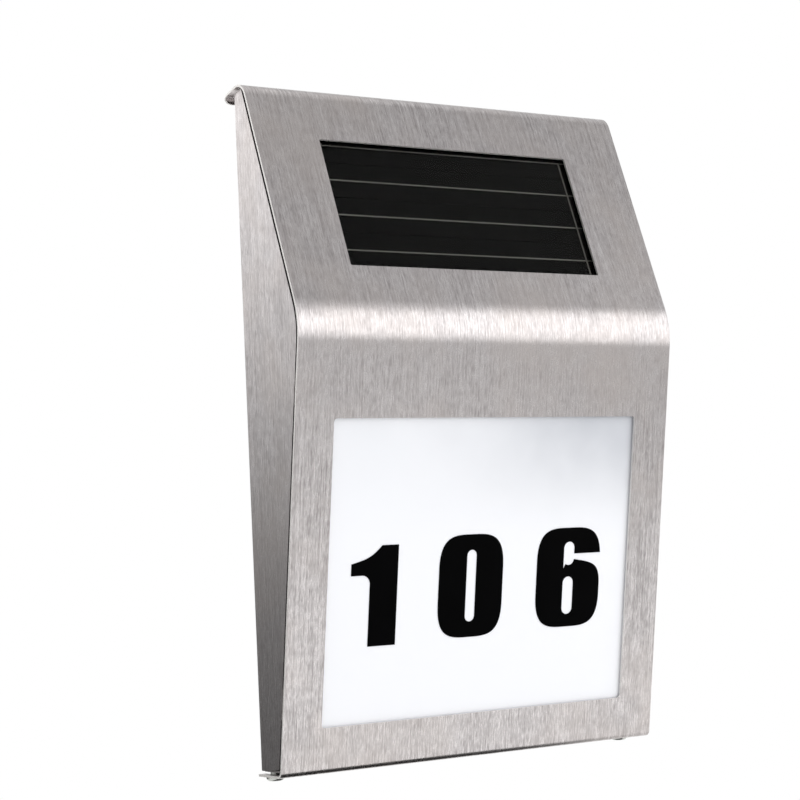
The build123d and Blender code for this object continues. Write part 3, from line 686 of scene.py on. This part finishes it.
@dataclass(frozen=True)
class Clear(Finish):
    """Clear glass or resin with a faint tint."""

    tint: str
    roughness: float = 0.03
    # Width of the uneven patches of the polish, and the share of the roughness at its best and worst
    patch: float = 9.0
    spread: tuple[float, float] = (0.7, 1.4)
    ior: float = 1.5
    shine: float = 0.5

    def surface(self, tree: bpy.types.NodeTree, spot: bpy.types.NodeSocket) -> bpy.types.NodeSocket:
        """Builds the clear body with a faintly uneven polish.

        Args:
            tree: the material's node tree.
            spot: the Object coordinates, in metres.

        Returns:
            The shader's output socket.
        """
        polish = add_node(
            tree, "ShaderNodeTexNoise", {"Vector": spot, "Scale": 1 / (MM * self.patch), "Detail": 3.0}
        )
        roughness = add_node(
            tree,
            "ShaderNodeMapRange",
            {
                "Value": polish.outputs["Fac"],
                **NOISE_RANGE,
                "To Min": self.roughness * self.spread[0],
                "To Max": self.roughness * self.spread[1],
            },
        )
        return add_node(
            tree,
            "ShaderNodeBsdfPrincipled",
            {
                "Base Color": linear(self.tint),
                "Roughness": roughness.outputs[0],
                "IOR": self.ior,
                "Specular IOR Level": self.shine,
                "Transmission Weight": 1.0,
            },
        ).outputs[0]


# Belt brushed sheet, down the slope of the front: fine streaks that spread each reflection sideways
COVER_STEEL = BrushedSteel("brushed_stainless_304", StrokeRun.DOWN_THE_SLOPE)
# The same sheet behind, with a slightly longer stroke that runs upright
TRAY_STEEL = BrushedSteel("brushed_stainless_304_tray", StrokeRun.UPRIGHT, stroke_length=2.4)
# Cut by laser and left rough: a pale matt line round the windows and the outline
CUT_EDGE = BareMetal("laser_cut_stainless_edge", "#F0EEEC", "#CFCCC9", grain=0.12, roughness=0.55)
# Electroplated screws, nuts and washers: bluish grey with a soft shine
ZINC = BareMetal("zinc_plated_steel", "#D2D3CF", "#9DA09C", grain=0.4, roughness=0.3)
# Dipped lamp leads and switch pins: pale grey and a little dull
TINNED = BareMetal("tinned_copper", "#B5B2AD", "#8F8C88", grain=0.3, roughness=0.4)
# Rolled ribbon under glass, gone grey: thin lines on the cells that don't glare
RIBBON = BareMetal("dull_tinned_ribbon", "#8C8986", "#6A6764", grain=0.3, roughness=0.5)
# Stamped battery contacts and their spring: warm and bright
NICKEL = BareMetal("nickel_strip", "#CFC9BC", "#A8A294", grain=0.3, roughness=0.24)
# Deep drawn can: the smoothest metal of the sign
CAN = BareMetal("nickel_plated_can", "#D3D1CC", "#B1AFAA", grain=0.6, roughness=0.2)
# Drawn capacitor cup: cool and satin
ALUMINIUM = BareMetal("drawn_aluminium", "#D9DADB", "#B4B6B8", grain=0.3, roughness=0.28)
# Die cut mounting tape: open pores that swallow the light
FOAM = Moulded(
    "black_closed_cell_foam", "#17181A", "#0D0E0F", grain=0.3, roughness=0.95, relief=0.08, shine=0.2
)
# Etched and coated cells behind glass: almost black, without a glare
SILICON = Moulded(
    "monocrystalline_silicon", "#060507", "#0B0909", grain=0.5, roughness=0.34, relief=0.002, shine=0.04
)
# Board under the cells: a black border that shows no edge
BLACK_BOARD = Moulded("black_glass_epoxy", "#060607", "#0A0A0B", grain=0.5, roughness=0.5, shine=0.05)
# Spark eroded mould: black with a fine satin grain
BLACK_ABS = Moulded("black_moulded_abs", "#17181A", "#1F2022", grain=0.28, roughness=0.5, relief=0.02)
# Shrunk round the can: smooth, glossy and green
BATTERY_FILM = Moulded("green_pvc_sleeve", "#2F7A4C", "#29703F", grain=1.2, roughness=0.28, relief=0.004)
# Screen printed lacquer: glossy green, faintly uneven
SOLDER_MASK = Moulded("green_solder_mask", "#14542F", "#0F4526", grain=0.8, roughness=0.3, relief=0.01)
# Filled resin of the chip: matt charcoal
CHIP_RESIN = Moulded("black_moulding_resin", "#1C1C1D", "#232324", grain=0.1, roughness=0.6, relief=0.006)
# Dipped choke: thick, half glossy and green
CHOKE_COAT = Moulded("green_lacquer", "#4E8C66", "#3F7A57", grain=0.5, roughness=0.35)
# Moulded light box: a soft white that throws the light about
WHITE_ABS = Moulded("white_moulded_abs", "#EDEDEA", "#E2E2DE", grain=0.3, roughness=0.45, relief=0.012)
# Extruded sheet with a satin face: cool white, softly uneven, with painted shade and a faint painted glow
OPAL = OpalPanel("opal_acrylic")
# Cut vinyl numerals: deep black and matt
BLACK_FILM = Moulded(
    "black_vinyl_film", "#030304", "#020202", grain=0.4, roughness=0.6, relief=0.002, shine=0.02
)
# Extruded insulation: smooth, with a soft shine along the wire
RED_PVC = Moulded("red_pvc_insulation", "#B3211C", "#9C1B17", grain=0.3, roughness=0.4)
BLACK_PVC = Moulded("black_pvc_insulation", "#151516", "#1C1C1E", grain=0.3, roughness=0.4)
# Float glass whose coating takes nearly all its reflection, which an index below that of glass stands for
PANEL_GLASS = Clear("antireflective_solar_glass", "#F4F7F4", roughness=0.02, ior=1.1)
# Cast lamp lens: clear and wet looking
LED_RESIN = Clear("clear_epoxy_lens", "#F4F5EE", roughness=0.05, ior=1.54)

NODE_FINISHES: dict[str, Finish] = {
    node: finish
    for finish, nodes in (
        (ZINC, ("cover_screws", "cover_studs", "stud_washers", "stud_nuts", "board_screws", "switch_body")),
        (FOAM, ("solar_tape", "diffuser_tape")),
        (PANEL_GLASS, ("solar_glass",)),
        (SILICON, ("solar_cells",)),
        (RIBBON, ("cell_ribbons", "cell_busbar")),
        (BLACK_BOARD, ("solar_board",)),
        (BLACK_ABS, ("upper_housing", "battery_door", "switch_slider")),
        (CAN, ("battery_can",)),
        (BATTERY_FILM, ("battery_sleeve",)),
        (NICKEL, ("contact_plus", "contact_minus", "contact_spring")),
        (SOLDER_MASK, ("circuit_board",)),
        (LED_RESIN, ("leds",)),
        (TINNED, ("led_leads", "switch_pins")),
        (CHIP_RESIN, ("driver_chip",)),
        (CHOKE_COAT, ("choke",)),
        (ALUMINIUM, ("capacitor",)),
        (WHITE_ABS, ("light_box",)),
        (OPAL, ("diffuser",)),
        (BLACK_FILM, ("digit_one", "digit_zero", "digit_six")),
        (RED_PVC, ("solar_wire_red", "battery_wire_red")),
        (BLACK_PVC, ("solar_wire_black", "battery_wire_black", "switch_wires")),
    )
    for node in nodes
}


# Sub-assemblies


@dataclass(frozen=True)
class Window:
    """A window in the cover, measured on the outer side of its face.

    Its middle lies so far down the slope from the fold above it, and so far right of the cover's middle.
    """

    width: float
    height: float
    down: float
    shift: float
    corner: float


@dataclass
class SteelCover:
    """The folded front sheet: hook, upper face, bend, lower face and lip."""

    width: float = 120.0
    sheet: float = 0.6
    # Y and Z of the folds on the outer side, from the hook's tail to the lip's end
    path: tuple[tuple[float, float], ...] = (
        (3.2, 177.9),
        (3.2, 180.0),
        (-7.2, 182.6),
        (-32.8, 116.5),
        (-13.1, 0.0),
        (-1.0, 0.0),
    )
    radii: tuple[float, ...] = (2.2, 5.0, 22.0, 1.8)
    steps: tuple[int, ...] = (10, 14, 30, 14)
    solar: Window = Window(width=80.4, height=38.08, down=35.84, shift=-0.65, corner=0.4)
    number: Window = Window(width=97.4, height=80.65, down=65.725, shift=0.0, corner=1.0)
    # How deep the punch of a window is, and how finely it rounds the corners
    punch_depth: float = 8.0
    corner_steps: int = 6
    hook_corner: float = 2.0
    hook_corner_sides: int = 64
    slot_x: float = 56.4
    slot_y: float = -3.4
    slot_radius: float = 1.4
    slot_sides: int = 32
    # How deep the punch of a slot is, and how far it runs out past the lip's end
    slot_depth: float = 4.0
    slot_run: float = 5.0
    edge_round: float = 0.13

    def build(self) -> bpy.types.Object:
        """Folds the sheet, thickens it, cuts it and rounds its edges.

        Returns:
            The finished sheet.
        """
        obj = self.folded()
        self.add_slots(obj)
        apply(
            obj,
            "SOLIDIFY",
            thickness=self.sheet * MM,
            offset=-1.0,
            use_even_offset=True,
            material_offset_rim=1,
        )
        self.punch(obj, self.window_cutter(self.solar, 2))
        self.punch(obj, self.window_cutter(self.number, 3))
        for side in (-1, 1):
            self.punch(obj, self.slot_cutter(side))
            self.punch(obj, self.corner_cutter(side))
        soften(obj, self.edge_round, material=1)
        return obj

    def add_slots(self, obj: bpy.types.Object) -> None:
        """Gives a mesh the sheet's two materials: the brushed faces first, the cut edges second."""
        obj.data.materials.append(COVER_STEEL.material())
        obj.data.materials.append(CUT_EDGE.material())

    def punch(self, obj: bpy.types.Object, cutter: bpy.types.Object) -> None:
        """Cuts the sheet, and leaves the cut edge's material on the walls of the cut.

        Args:
            obj: the sheet.
            cutter: the closed punch.
        """
        self.add_slots(cutter)
        for face in cutter.data.polygons:
            face.material_index = 1
        cut(obj, cutter)

    def folded(self) -> bpy.types.Object:
        """Draws the outer side of the sheet: straight runs extruded, folds spun.

        Returns:
            The sheet without thickness, its faces outwards.
        """
        points = [Vector((0, y, z)) for y, z in self.path]
        runs = [(b - a).normalized() for a, b in zip(points, points[1:])]
        turns = [a.angle(b) for a, b in zip(runs, runs[1:])]
        reaches = [0.0, *(r * math.tan(t / 2) for r, t in zip(self.radii, turns)), 0.0]
        first = (points[1] - points[0]).length - reaches[1]
        bpy.ops.mesh.primitive_plane_add(size=1.0, rotation=(math.pi / 2, 0, 0))
        obj = bpy.context.object
        obj.name = "folded_cover_sheet"
        obj.scale = (self.width * MM, first * MM, 1.0)
        obj.location = place(0, *self.path[0]) + runs[0] * first / 2 * MM
        settle(obj)
        edit(obj, Part.EDGES)
        top = place(0, *self.path[0]).z + first * MM
        pick(obj, Part.EDGES, lambda middle, run: abs(middle.z - top) < MERGE_GAP)
        for index, (turn, radius, steps) in enumerate(zip(turns, self.radii, self.steps), start=1):
            start = points[index] - runs[index - 1] * reaches[index]
            inward = Vector((0, -runs[index - 1].z, runs[index - 1].y))
            centre = place(*(start + inward * radius))
            bpy.ops.mesh.spin(steps=steps, angle=-turn, center=centre, axis=(1, 0, 0))
            length = (points[index + 1] - points[index]).length - reaches[index] - reaches[index + 1]
            bpy.ops.mesh.extrude_region_move(TRANSFORM_OT_translate={"value": runs[index] * length * MM})
        bpy.ops.mesh.select_all(action="SELECT")
        bpy.ops.mesh.remove_doubles(threshold=MERGE_GAP)
        bpy.ops.mesh.normals_make_consistent(inside=False)
        pick(obj, Part.FACES, lambda middle, normal: True)
        mesh = bmesh.from_edit_mesh(obj.data)
        front = min(mesh.faces, key=lambda face: face.calc_center_median().y)
        if front.normal.y > 0:
            bpy.ops.mesh.flip_normals()
        leave()
        return obj

    def face_frame(self, index: int, window: Window) -> Matrix:
        """Gives the frame on a window's middle.

        Args:
            index: number of the path point at the face's upper end.
            window: the window.

        Returns:
            A matrix whose X is to the right, Y up the slope and Z outwards.
        """
        top, low = (Vector((0, *self.path[i])) for i in (index, index + 1))
        slope = (low - top).normalized()
        middle = top + slope * window.down
        outward = Vector((0, slope.z, -slope.y))
        turn = Matrix((Vector((1, 0, 0)), -slope, outward)).transposed().to_4x4()
        return Matrix.Translation(place(window.shift, middle.y, middle.z)) @ turn

    def window_cutter(self, window: Window, index: int) -> bpy.types.Object:
        """Makes the punch of a window, its four corners rounded.

        Args:
            window: the window.
            index: number of the path point at the face's upper end.

        Returns:
            The closed cutter.
        """
        bpy.ops.mesh.primitive_cube_add(size=1.0)
        cutter = bpy.context.object
        cutter.scale = (window.width * MM, window.height * MM, self.punch_depth * MM)
        settle(cutter)
        edit(cutter, Part.EDGES)
        pick(cutter, Part.EDGES, lambda middle, run: abs(run.z) > 0.9)
        bpy.ops.mesh.bevel(
            offset=window.corner * MM, segments=self.corner_steps, profile=0.5, affect="EDGES"
        )
        leave()
        cutter.matrix_world = self.face_frame(index, window)
        settle(cutter)
        return cutter

    def slot_cutter(self, side: int) -> bpy.types.Object:
        """Makes the cutter of a screw slot that runs out at the lip's end.

        Args:
            side: -1 for the left one, 1 for the right one.

        Returns:
            The closed cutter.
        """
        middle = place(side * self.slot_x, self.slot_y, 0.0)
        bpy.ops.mesh.primitive_cylinder_add(
            vertices=self.slot_sides,
            radius=self.slot_radius * MM,
            depth=self.slot_depth * MM,
            location=middle,
        )
        cutter = bpy.context.object
        settle(cutter)
        edit(cutter, Part.VERTS)
        # The vertices behind the middle, without those on it
        pick(cutter, Part.VERTS, lambda spot, normal: spot.y > middle.y + 0.05 * MM)
        bpy.ops.transform.translate(value=(0, self.slot_run * MM, 0))
        leave()
        return cutter

    def corner_cutter(self, side: int) -> bpy.types.Object:
        """Makes the cutter that rounds a lower corner of the hook's tail.

        Args:
            side: -1 for the left one, 1 for the right one.

        Returns:
            The closed cutter.
        """
        reach = self.hook_corner
        low_y, low_z = self.path[0]
        corner = place(side * self.width / 2, low_y - self.sheet / 2, low_z)
        bpy.ops.mesh.primitive_cube_add(size=1.0, location=corner)
        cutter = bpy.context.object
        cutter.scale = (2 * reach * MM, 3 * self.sheet * MM, 2 * reach * MM)
        settle(cutter)
        middle = corner + Vector((-side * reach, 0, reach)) * MM
        bpy.ops.mesh.primitive_cylinder_add(
            vertices=self.hook_corner_sides,
            radius=reach * MM,
            depth=4 * self.sheet * MM,
            location=middle,
            rotation=(math.pi / 2, 0, 0),
        )
        rounding = bpy.context.object
        settle(rounding)
        cut(cutter, rounding)
        return cutter

    def dress(self, obj: bpy.types.Object) -> None:
        """Hangs the sheet on the cover's body in place of its CAD node.

        Args:
            obj: the finished sheet.
        """
        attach(obj, Body.COVER.value)
        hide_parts("front_cover")


@dataclass
class WallTray:
    """The back tray: a copy of its CAD sheet with rounded edges."""

    edge_round: float = 0.09

    def build(self, frame: dict) -> bpy.types.Object:
        """Copies the CAD tray, merges it and rounds its edges.


        Returns:
            The finished tray.
        """
        obj = merged_copy(frame["nodes"]["back_tray"], "pressed_wall_tray")
        soften(obj, self.edge_round)
        obj.data.materials.append(TRAY_STEEL.material())
        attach(obj, Body.TRAY.value)
        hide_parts("back_tray")
        return obj


# Width of the edge rounding of each smoothed piece in millimetres, 0 where only the shading is smoothed
ROUNDINGS: dict[str, float] = {
    "cover_screws": 0.08,
    "cover_studs": 0.1,
    "stud_washers": 0.06,
    "stud_nuts": 0.12,
    "upper_housing": 0.2,
    "battery_door": 0.12,
    "battery_can": 0.25,
    "battery_sleeve": 0.04,
    "contact_plus": 0.06,
    "contact_minus": 0.06,
    "contact_spring": 0.0,
    "circuit_board": 0.05,
    "board_screws": 0.06,
    "leds": 0.08,
    "led_leads": 0.04,
    "driver_chip": 0.1,
    "choke": 0.15,
    "capacitor": 0.08,
    "switch_body": 0.12,
    "switch_slider": 0.12,
    "switch_pins": 0.05,
    "light_box": 0.2,
    "solar_wire_red": 0.0,
    "solar_wire_black": 0.0,
    "battery_wire_red": 0.0,
    "battery_wire_black": 0.0,
    "switch_wires": 0.0,
}


@dataclass
class SmoothedPieces:
    """Copies of the small CAD pieces with joined, smooth round faces and slightly rounded edges."""

    roundings: dict[str, float]

    def build(self, frame: dict) -> None:
        """Copies, smooths and dresses each piece.
        """
        groups = frame["record"]["behaviour"]["bodies"]
        bodies = {node: body for body, nodes in groups.items() for node in nodes}
        for node, rounding in self.roundings.items():
            obj = merged_copy(frame["nodes"][node], f"smooth_{node}")
            if rounding > 0:
                soften(obj, rounding)
            else:
                take(obj)
                bpy.ops.object.shade_smooth_by_angle(angle=EDGE_ANGLE)
            finish = NODE_FINISHES[node]
            obj.data.materials.append(finish.material())
            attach(obj, bodies[node])
            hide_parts(node)
            log.info("%s: %s, %d faces", obj.name, finish.name, len(obj.data.polygons))


def show_in_reflections(obj: bpy.types.Object) -> None:
    """Hides a card from all but glossy rays.

    Args:
        obj: the card.
    """
    obj.visible_camera = False
    obj.visible_diffuse = False
    obj.visible_transmission = False
    obj.visible_shadow = False


def eye_rays(tree: bpy.types.NodeTree) -> bpy.types.NodeSocket:
    """Tells the rays that an eye could follow from those that only light the sign.

    Args:
        tree: the node tree of a material or the world.

    Returns:
        A socket that is 1 for camera, glossy and transmission rays and 0 for the others.
    """
    ray = add_node(tree, "ShaderNodeLightPath")
    shown = ray.outputs["Is Camera Ray"]
    for kind in ("Is Glossy Ray", "Is Transmission Ray"):
        shown = add_node(
            tree, "ShaderNodeMath", {0: shown, 1: ray.outputs[kind]}, operation="MAXIMUM"
        ).outputs[0]
    return shown


@dataclass
class Softbox:
    """A square soft lamp, aimed at the sign."""

    name: str
    azimuth: float
    elevation: float
    distance: float
    width: float
    height: float
    radiance: float

    def build(self) -> None:
        """Hangs the lamp. Azimuth 0 is in front of the sign and 90 at its right."""
        a, e = math.radians(self.azimuth), math.radians(self.elevation)
        away = Vector((math.sin(a) * math.cos(e), -math.cos(a) * math.cos(e), math.sin(e)))
        lamp = bpy.data.lights.new(self.name, "AREA")
        lamp.shape = "RECTANGLE"
        lamp.size = self.width
        lamp.size_y = self.height
        lamp.energy = self.radiance * math.pi * self.width * self.height
        obj = bpy.data.objects.new(self.name, lamp)
        bpy.context.scene.collection.objects.link(obj)
        obj.location = away * self.distance
        obj.rotation_euler = away.to_track_quat("Z", "Y").to_euler()


@dataclass
class Reflector:
    """A card that only shows in reflections, its light graded from foot to top."""

    name: str
    middle: tuple[float, float, float]
    width: float
    height: float
    # Share of the card's height and the radiance there, from the foot up
    levels: tuple[tuple[float, float], ...]

    def build(self) -> None:
        """Stands the card at its place, facing the sign."""
        middle = Vector(self.middle)
        flat = Vector((-middle.x, -middle.y, 0.0))
        turn = flat.to_track_quat("Z", "Y").to_euler()
        bpy.ops.mesh.primitive_grid_add(x_subdivisions=2, y_subdivisions=2, size=1.0)
        obj = bpy.context.object
        obj.name = self.name
        obj.scale = (self.width, self.height, 1.0)
        obj.rotation_euler = turn
        obj.location = middle
        settle(obj)
        obj.data.materials.append(self.paint())
        show_in_reflections(obj)

    def paint(self) -> bpy.types.Material:
        """Makes the card's graded light.

        Returns:
            The card's material.
        """
        made, tree = empty_material(f"{self.name}_paint")
        spot = add_node(tree, "ShaderNodeTexCoord").outputs["Object"]
        parts = add_node(tree, "ShaderNodeSeparateXYZ", {0: spot})
        foot = self.middle[2] - self.height / 2
        share = add_node(
            tree,
            "ShaderNodeMapRange",
            {"Value": parts.outputs["Z"], "From Min": foot, "From Max": foot + self.height},
        )
        ramp = add_node(tree, "ShaderNodeValToRGB", {0: share.outputs[0]})
        most = max(level for _, level in self.levels)
        elements = ramp.color_ramp.elements
        while len(elements) < len(self.levels):
            elements.new(0.5)
        for element, (place_up, level) in zip(elements, self.levels):
            element.position = place_up
            element.color = (level / most, level / most, level / most, 1.0)
        light = add_node(tree, "ShaderNodeEmission", {"Color": ramp.outputs[0], "Strength": most})
        add_node(tree, "ShaderNodeOutputMaterial", {"Surface": light.outputs[0]})
        return made


@dataclass
class Studio:
    """Pale floor, soft lamps, backdrop and the camera at the photograph's angle, in metres and degrees."""

    camera_place: tuple[float, float, float] = (-0.318612, -0.500735, -0.037504)
    yaw: float = 35.775
    pitch: float = 3.2028
    roll: float = -2.8029
    # Focal length on a sensor 36 mm wide, and how far the picture is shifted as a share of its width
    lens: float = 94.9266
    sensor: float = 36.0
    shift: tuple[float, float] = (-0.1875, 0.0285)
    floor_drop: float = 0.42
    floor_size: float = 3.4
    # How much of the floor's side its rounded corners take, and how fine they are
    floor_corner: float = 0.28
    floor_corner_steps: int = 8
    floor_tones: tuple[str, str] = ("#F2F2F1", "#F6F6F5")
    # Patches of the floor's tone to the metre
    floor_patches: float = 60.0
    # The world's light on the sign; what reflections show of it is set by the four values after it
    lamp_level: float = 0.72
    front_dimming: float = 0.2
    high_dimming: float = 0.24
    low_dimming: float = 0.75
    overhead_gain: float = 1.5
    # What an eye sees of the floor on top of the light that falls on it
    floor_lift: float = 0.4
    card_place: tuple[float, float, float] = (0.02, -0.04, -0.22)
    card_size: float = 0.22
    card_tone: str = "#2A2A2A"

    def build(self) -> None:
        """Sets up the camera, the backdrop, the floor, the lamps and the two cards."""
        self.camera()
        self.backdrop()
        self.floor()
        self.dark_card()
        Softbox(
            "bend_softbox", azimuth=40, elevation=13.5, distance=1.3, width=1.6, height=0.78, radiance=1.42
        ).build()
        Softbox(
            "left_softbox", azimuth=-52, elevation=50, distance=1.5, width=1.0, height=1.0, radiance=1.1
        ).build()
        Reflector(
            "side_reflector",
            middle=(-0.45, 0.774, 0.1),
            width=1.3,
            height=1.1,
            levels=((0.0, 0.06), (0.27, 0.12), (0.366, 0.27), (0.47, 0.78), (0.65, 1.65), (1.0, 2.0)),
        ).build()
        bpy.context.scene.view_settings.view_transform = "Standard"

    def camera(self) -> None:
        """Places the camera by the angles that the photograph gave."""
        yaw, pitch, roll = (math.radians(x) for x in (self.yaw, self.pitch, self.roll))
        right = Vector((math.cos(yaw), -math.sin(yaw), 0))
        forward = Vector((math.sin(yaw) * math.cos(pitch), math.cos(yaw) * math.cos(pitch), math.sin(pitch)))
        up = right.cross(forward)
        across = right * math.cos(roll) + up * math.sin(roll)
        above = up * math.cos(roll) - right * math.sin(roll)
        data = bpy.data.cameras.new("photo_camera")
        data.sensor_width = self.sensor
        data.lens = self.lens
        data.shift_x, data.shift_y = self.shift
        data.clip_start = 0.01
        data.clip_end = 50.0
        obj = bpy.data.objects.new("photo_camera", data)
        bpy.context.scene.collection.objects.link(obj)
        turn = Matrix((across, above, -forward)).transposed().to_4x4()
        obj.matrix_world = Matrix.Translation(Vector(self.camera_place)) @ turn
        bpy.context.scene.camera = obj

    def backdrop(self) -> None:
        """Makes the world: white to the eye, and in reflections a little greyer in front and below."""
        world = bpy.data.worlds.new("white_sweep")
        bpy.context.scene.world = world
        world.use_nodes = True
        tree = world.node_tree
        tree.nodes.clear()
        way = add_node(tree, "ShaderNodeTexCoord").outputs["Generated"]
        parts = add_node(tree, "ShaderNodeSeparateXYZ", {0: way})
        # Axis of a ray's way, where on it a change starts and is full, and the level before and after
        front, high, low, overhead, in_front = (
            add_node(
                tree,
                "ShaderNodeMapRange",
                {
                    "Value": parts.outputs[axis],
                    "From Min": start,
                    "From Max": full,
                    "To Min": before,
                    "To Max": after,
                },
                interpolation_type=blend,
            ).outputs[0]
            for axis, start, full, before, after, blend in (
                ("Y", 0.3, -0.2, 1.0, 1 - self.front_dimming, "SMOOTHSTEP"),
                ("Z", 0.46, 0.64, 1.0, 1 - self.high_dimming, "SMOOTHSTEP"),
                ("Z", 0.0, -0.16, 0.0, self.low_dimming, "SMOOTHSTEP"),
                ("Z", 0.74, 0.9, 1.0, self.overhead_gain, "SMOOTHSTEP"),
                ("Y", 0.1, -0.3, 0.0, 1.0, "LINEAR"),
            )
        )
        # The dimming below is for the front alone
        low = add_node(tree, "ShaderNodeMath", {0: low, 1: in_front}, operation="MULTIPLY").outputs[0]
        low = add_node(tree, "ShaderNodeMath", {0: 1.0, 1: low}, operation="SUBTRACT").outputs[0]
        level = front
        for factor in (high, low, overhead):
            level = add_node(tree, "ShaderNodeMath", {0: level, 1: factor}, operation="MULTIPLY").outputs[0]
        ray = add_node(tree, "ShaderNodeLightPath")
        level = add_node(
            tree, "ShaderNodeMix", {0: ray.outputs["Is Camera Ray"], 2: level, 3: 1.0}, data_type="FLOAT"
        )
        seen = add_node(tree, "ShaderNodeBackground", {"Color": level.outputs[0], "Strength": 1.0})
        light = add_node(tree, "ShaderNodeBackground", {"Color": (1, 1, 1, 1), "Strength": self.lamp_level})
        mixed = add_node(
            tree, "ShaderNodeMixShader", {0: eye_rays(tree), 1: light.outputs[0], 2: seen.outputs[0]}
        )
        add_node(tree, "ShaderNodeOutputWorld", {"Surface": mixed.outputs[0]})

    def dark_card(self) -> None:
        """Lays a dark card close below the sign that only shows in reflections, as under the foot's fold."""
        middle, size = self.card_place, self.card_size
        bpy.ops.mesh.primitive_grid_add(x_subdivisions=2, y_subdivisions=2, size=size, location=middle)
        obj = bpy.context.object
        obj.name = "dark_card"
        settle(obj)
        paint, tree = empty_material("black_card")
        dark = add_node(tree, "ShaderNodeEmission", {"Color": linear(self.card_tone), "Strength": 1.0})
        add_node(tree, "ShaderNodeOutputMaterial", {"Surface": dark.outputs[0]})
        obj.data.materials.append(paint)
        show_in_reflections(obj)

    def floor(self) -> None:
        """Lays the pale floor below the sign, its edge rounded off."""
        bpy.ops.mesh.primitive_plane_add(size=self.floor_size, location=(0, 0, -self.floor_drop))
        obj = bpy.context.object
        obj.name = "studio_floor"
        settle(obj)
        edit(obj, Part.VERTS)
        pick(obj, Part.VERTS, lambda spot, normal: True)
        bpy.ops.mesh.bevel(
            offset=self.floor_size * self.floor_corner, segments=self.floor_corner_steps, affect="VERTICES"
        )
        leave()
        material, tree = empty_material("matt_floor_paint")
        dark, light = self.floor_tones
        spot = add_node(tree, "ShaderNodeTexCoord").outputs["Object"]
        grain = add_node(
            tree, "ShaderNodeTexNoise", {"Vector": spot, "Scale": self.floor_patches, "Detail": 2.0}
        )
        tone = add_node(
            tree,
            "ShaderNodeMix",
            {0: grain.outputs["Fac"], 6: linear(dark), 7: linear(light)},
            data_type="RGBA",
        )
        paint = add_node(tree, "ShaderNodeBsdfDiffuse", {"Color": tone.outputs[2]})
        lift = add_node(tree, "ShaderNodeEmission", {"Color": (1, 1, 1, 1), "Strength": self.floor_lift})
        none = add_node(tree, "ShaderNodeEmission", {"Color": (0, 0, 0, 1), "Strength": 0.0})
        extra = add_node(
            tree, "ShaderNodeMixShader", {0: eye_rays(tree), 1: none.outputs[0], 2: lift.outputs[0]}
        )
        whole = add_node(tree, "ShaderNodeAddShader", {0: paint.outputs[0], 1: extra.outputs[0]})
        add_node(tree, "ShaderNodeOutputMaterial", {"Surface": whole.outputs[0]})
        obj.data.materials.append(material)


def dress_nodes(frame: dict) -> None:
    """Gives every CAD node in the table of finishes its finish.
    """
    for name, finish in NODE_FINISHES.items():
        node = frame["nodes"][name]
        node.data.materials.clear()
        node.data.materials.append(finish.material())
        log.info("%s: %s", name, finish.name)


def main() -> None:
    """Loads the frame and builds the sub-assemblies in order."""
    logging.basicConfig(level=logging.INFO, format="%(name)s: %(message)s", stream=sys.stdout)
    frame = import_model()
    Studio().build()
    cover = SteelCover()
    sheet = cover.build()
    cover.dress(sheet)
    log.info("front cover folded: %d faces", len(sheet.data.polygons))
    tray = WallTray().build(frame)
    log.info("wall tray: %d faces", len(tray.data.polygons))
    SmoothedPieces(ROUNDINGS).build(frame)
    dress_nodes(frame)


if __name__ == "__main__":
    main()
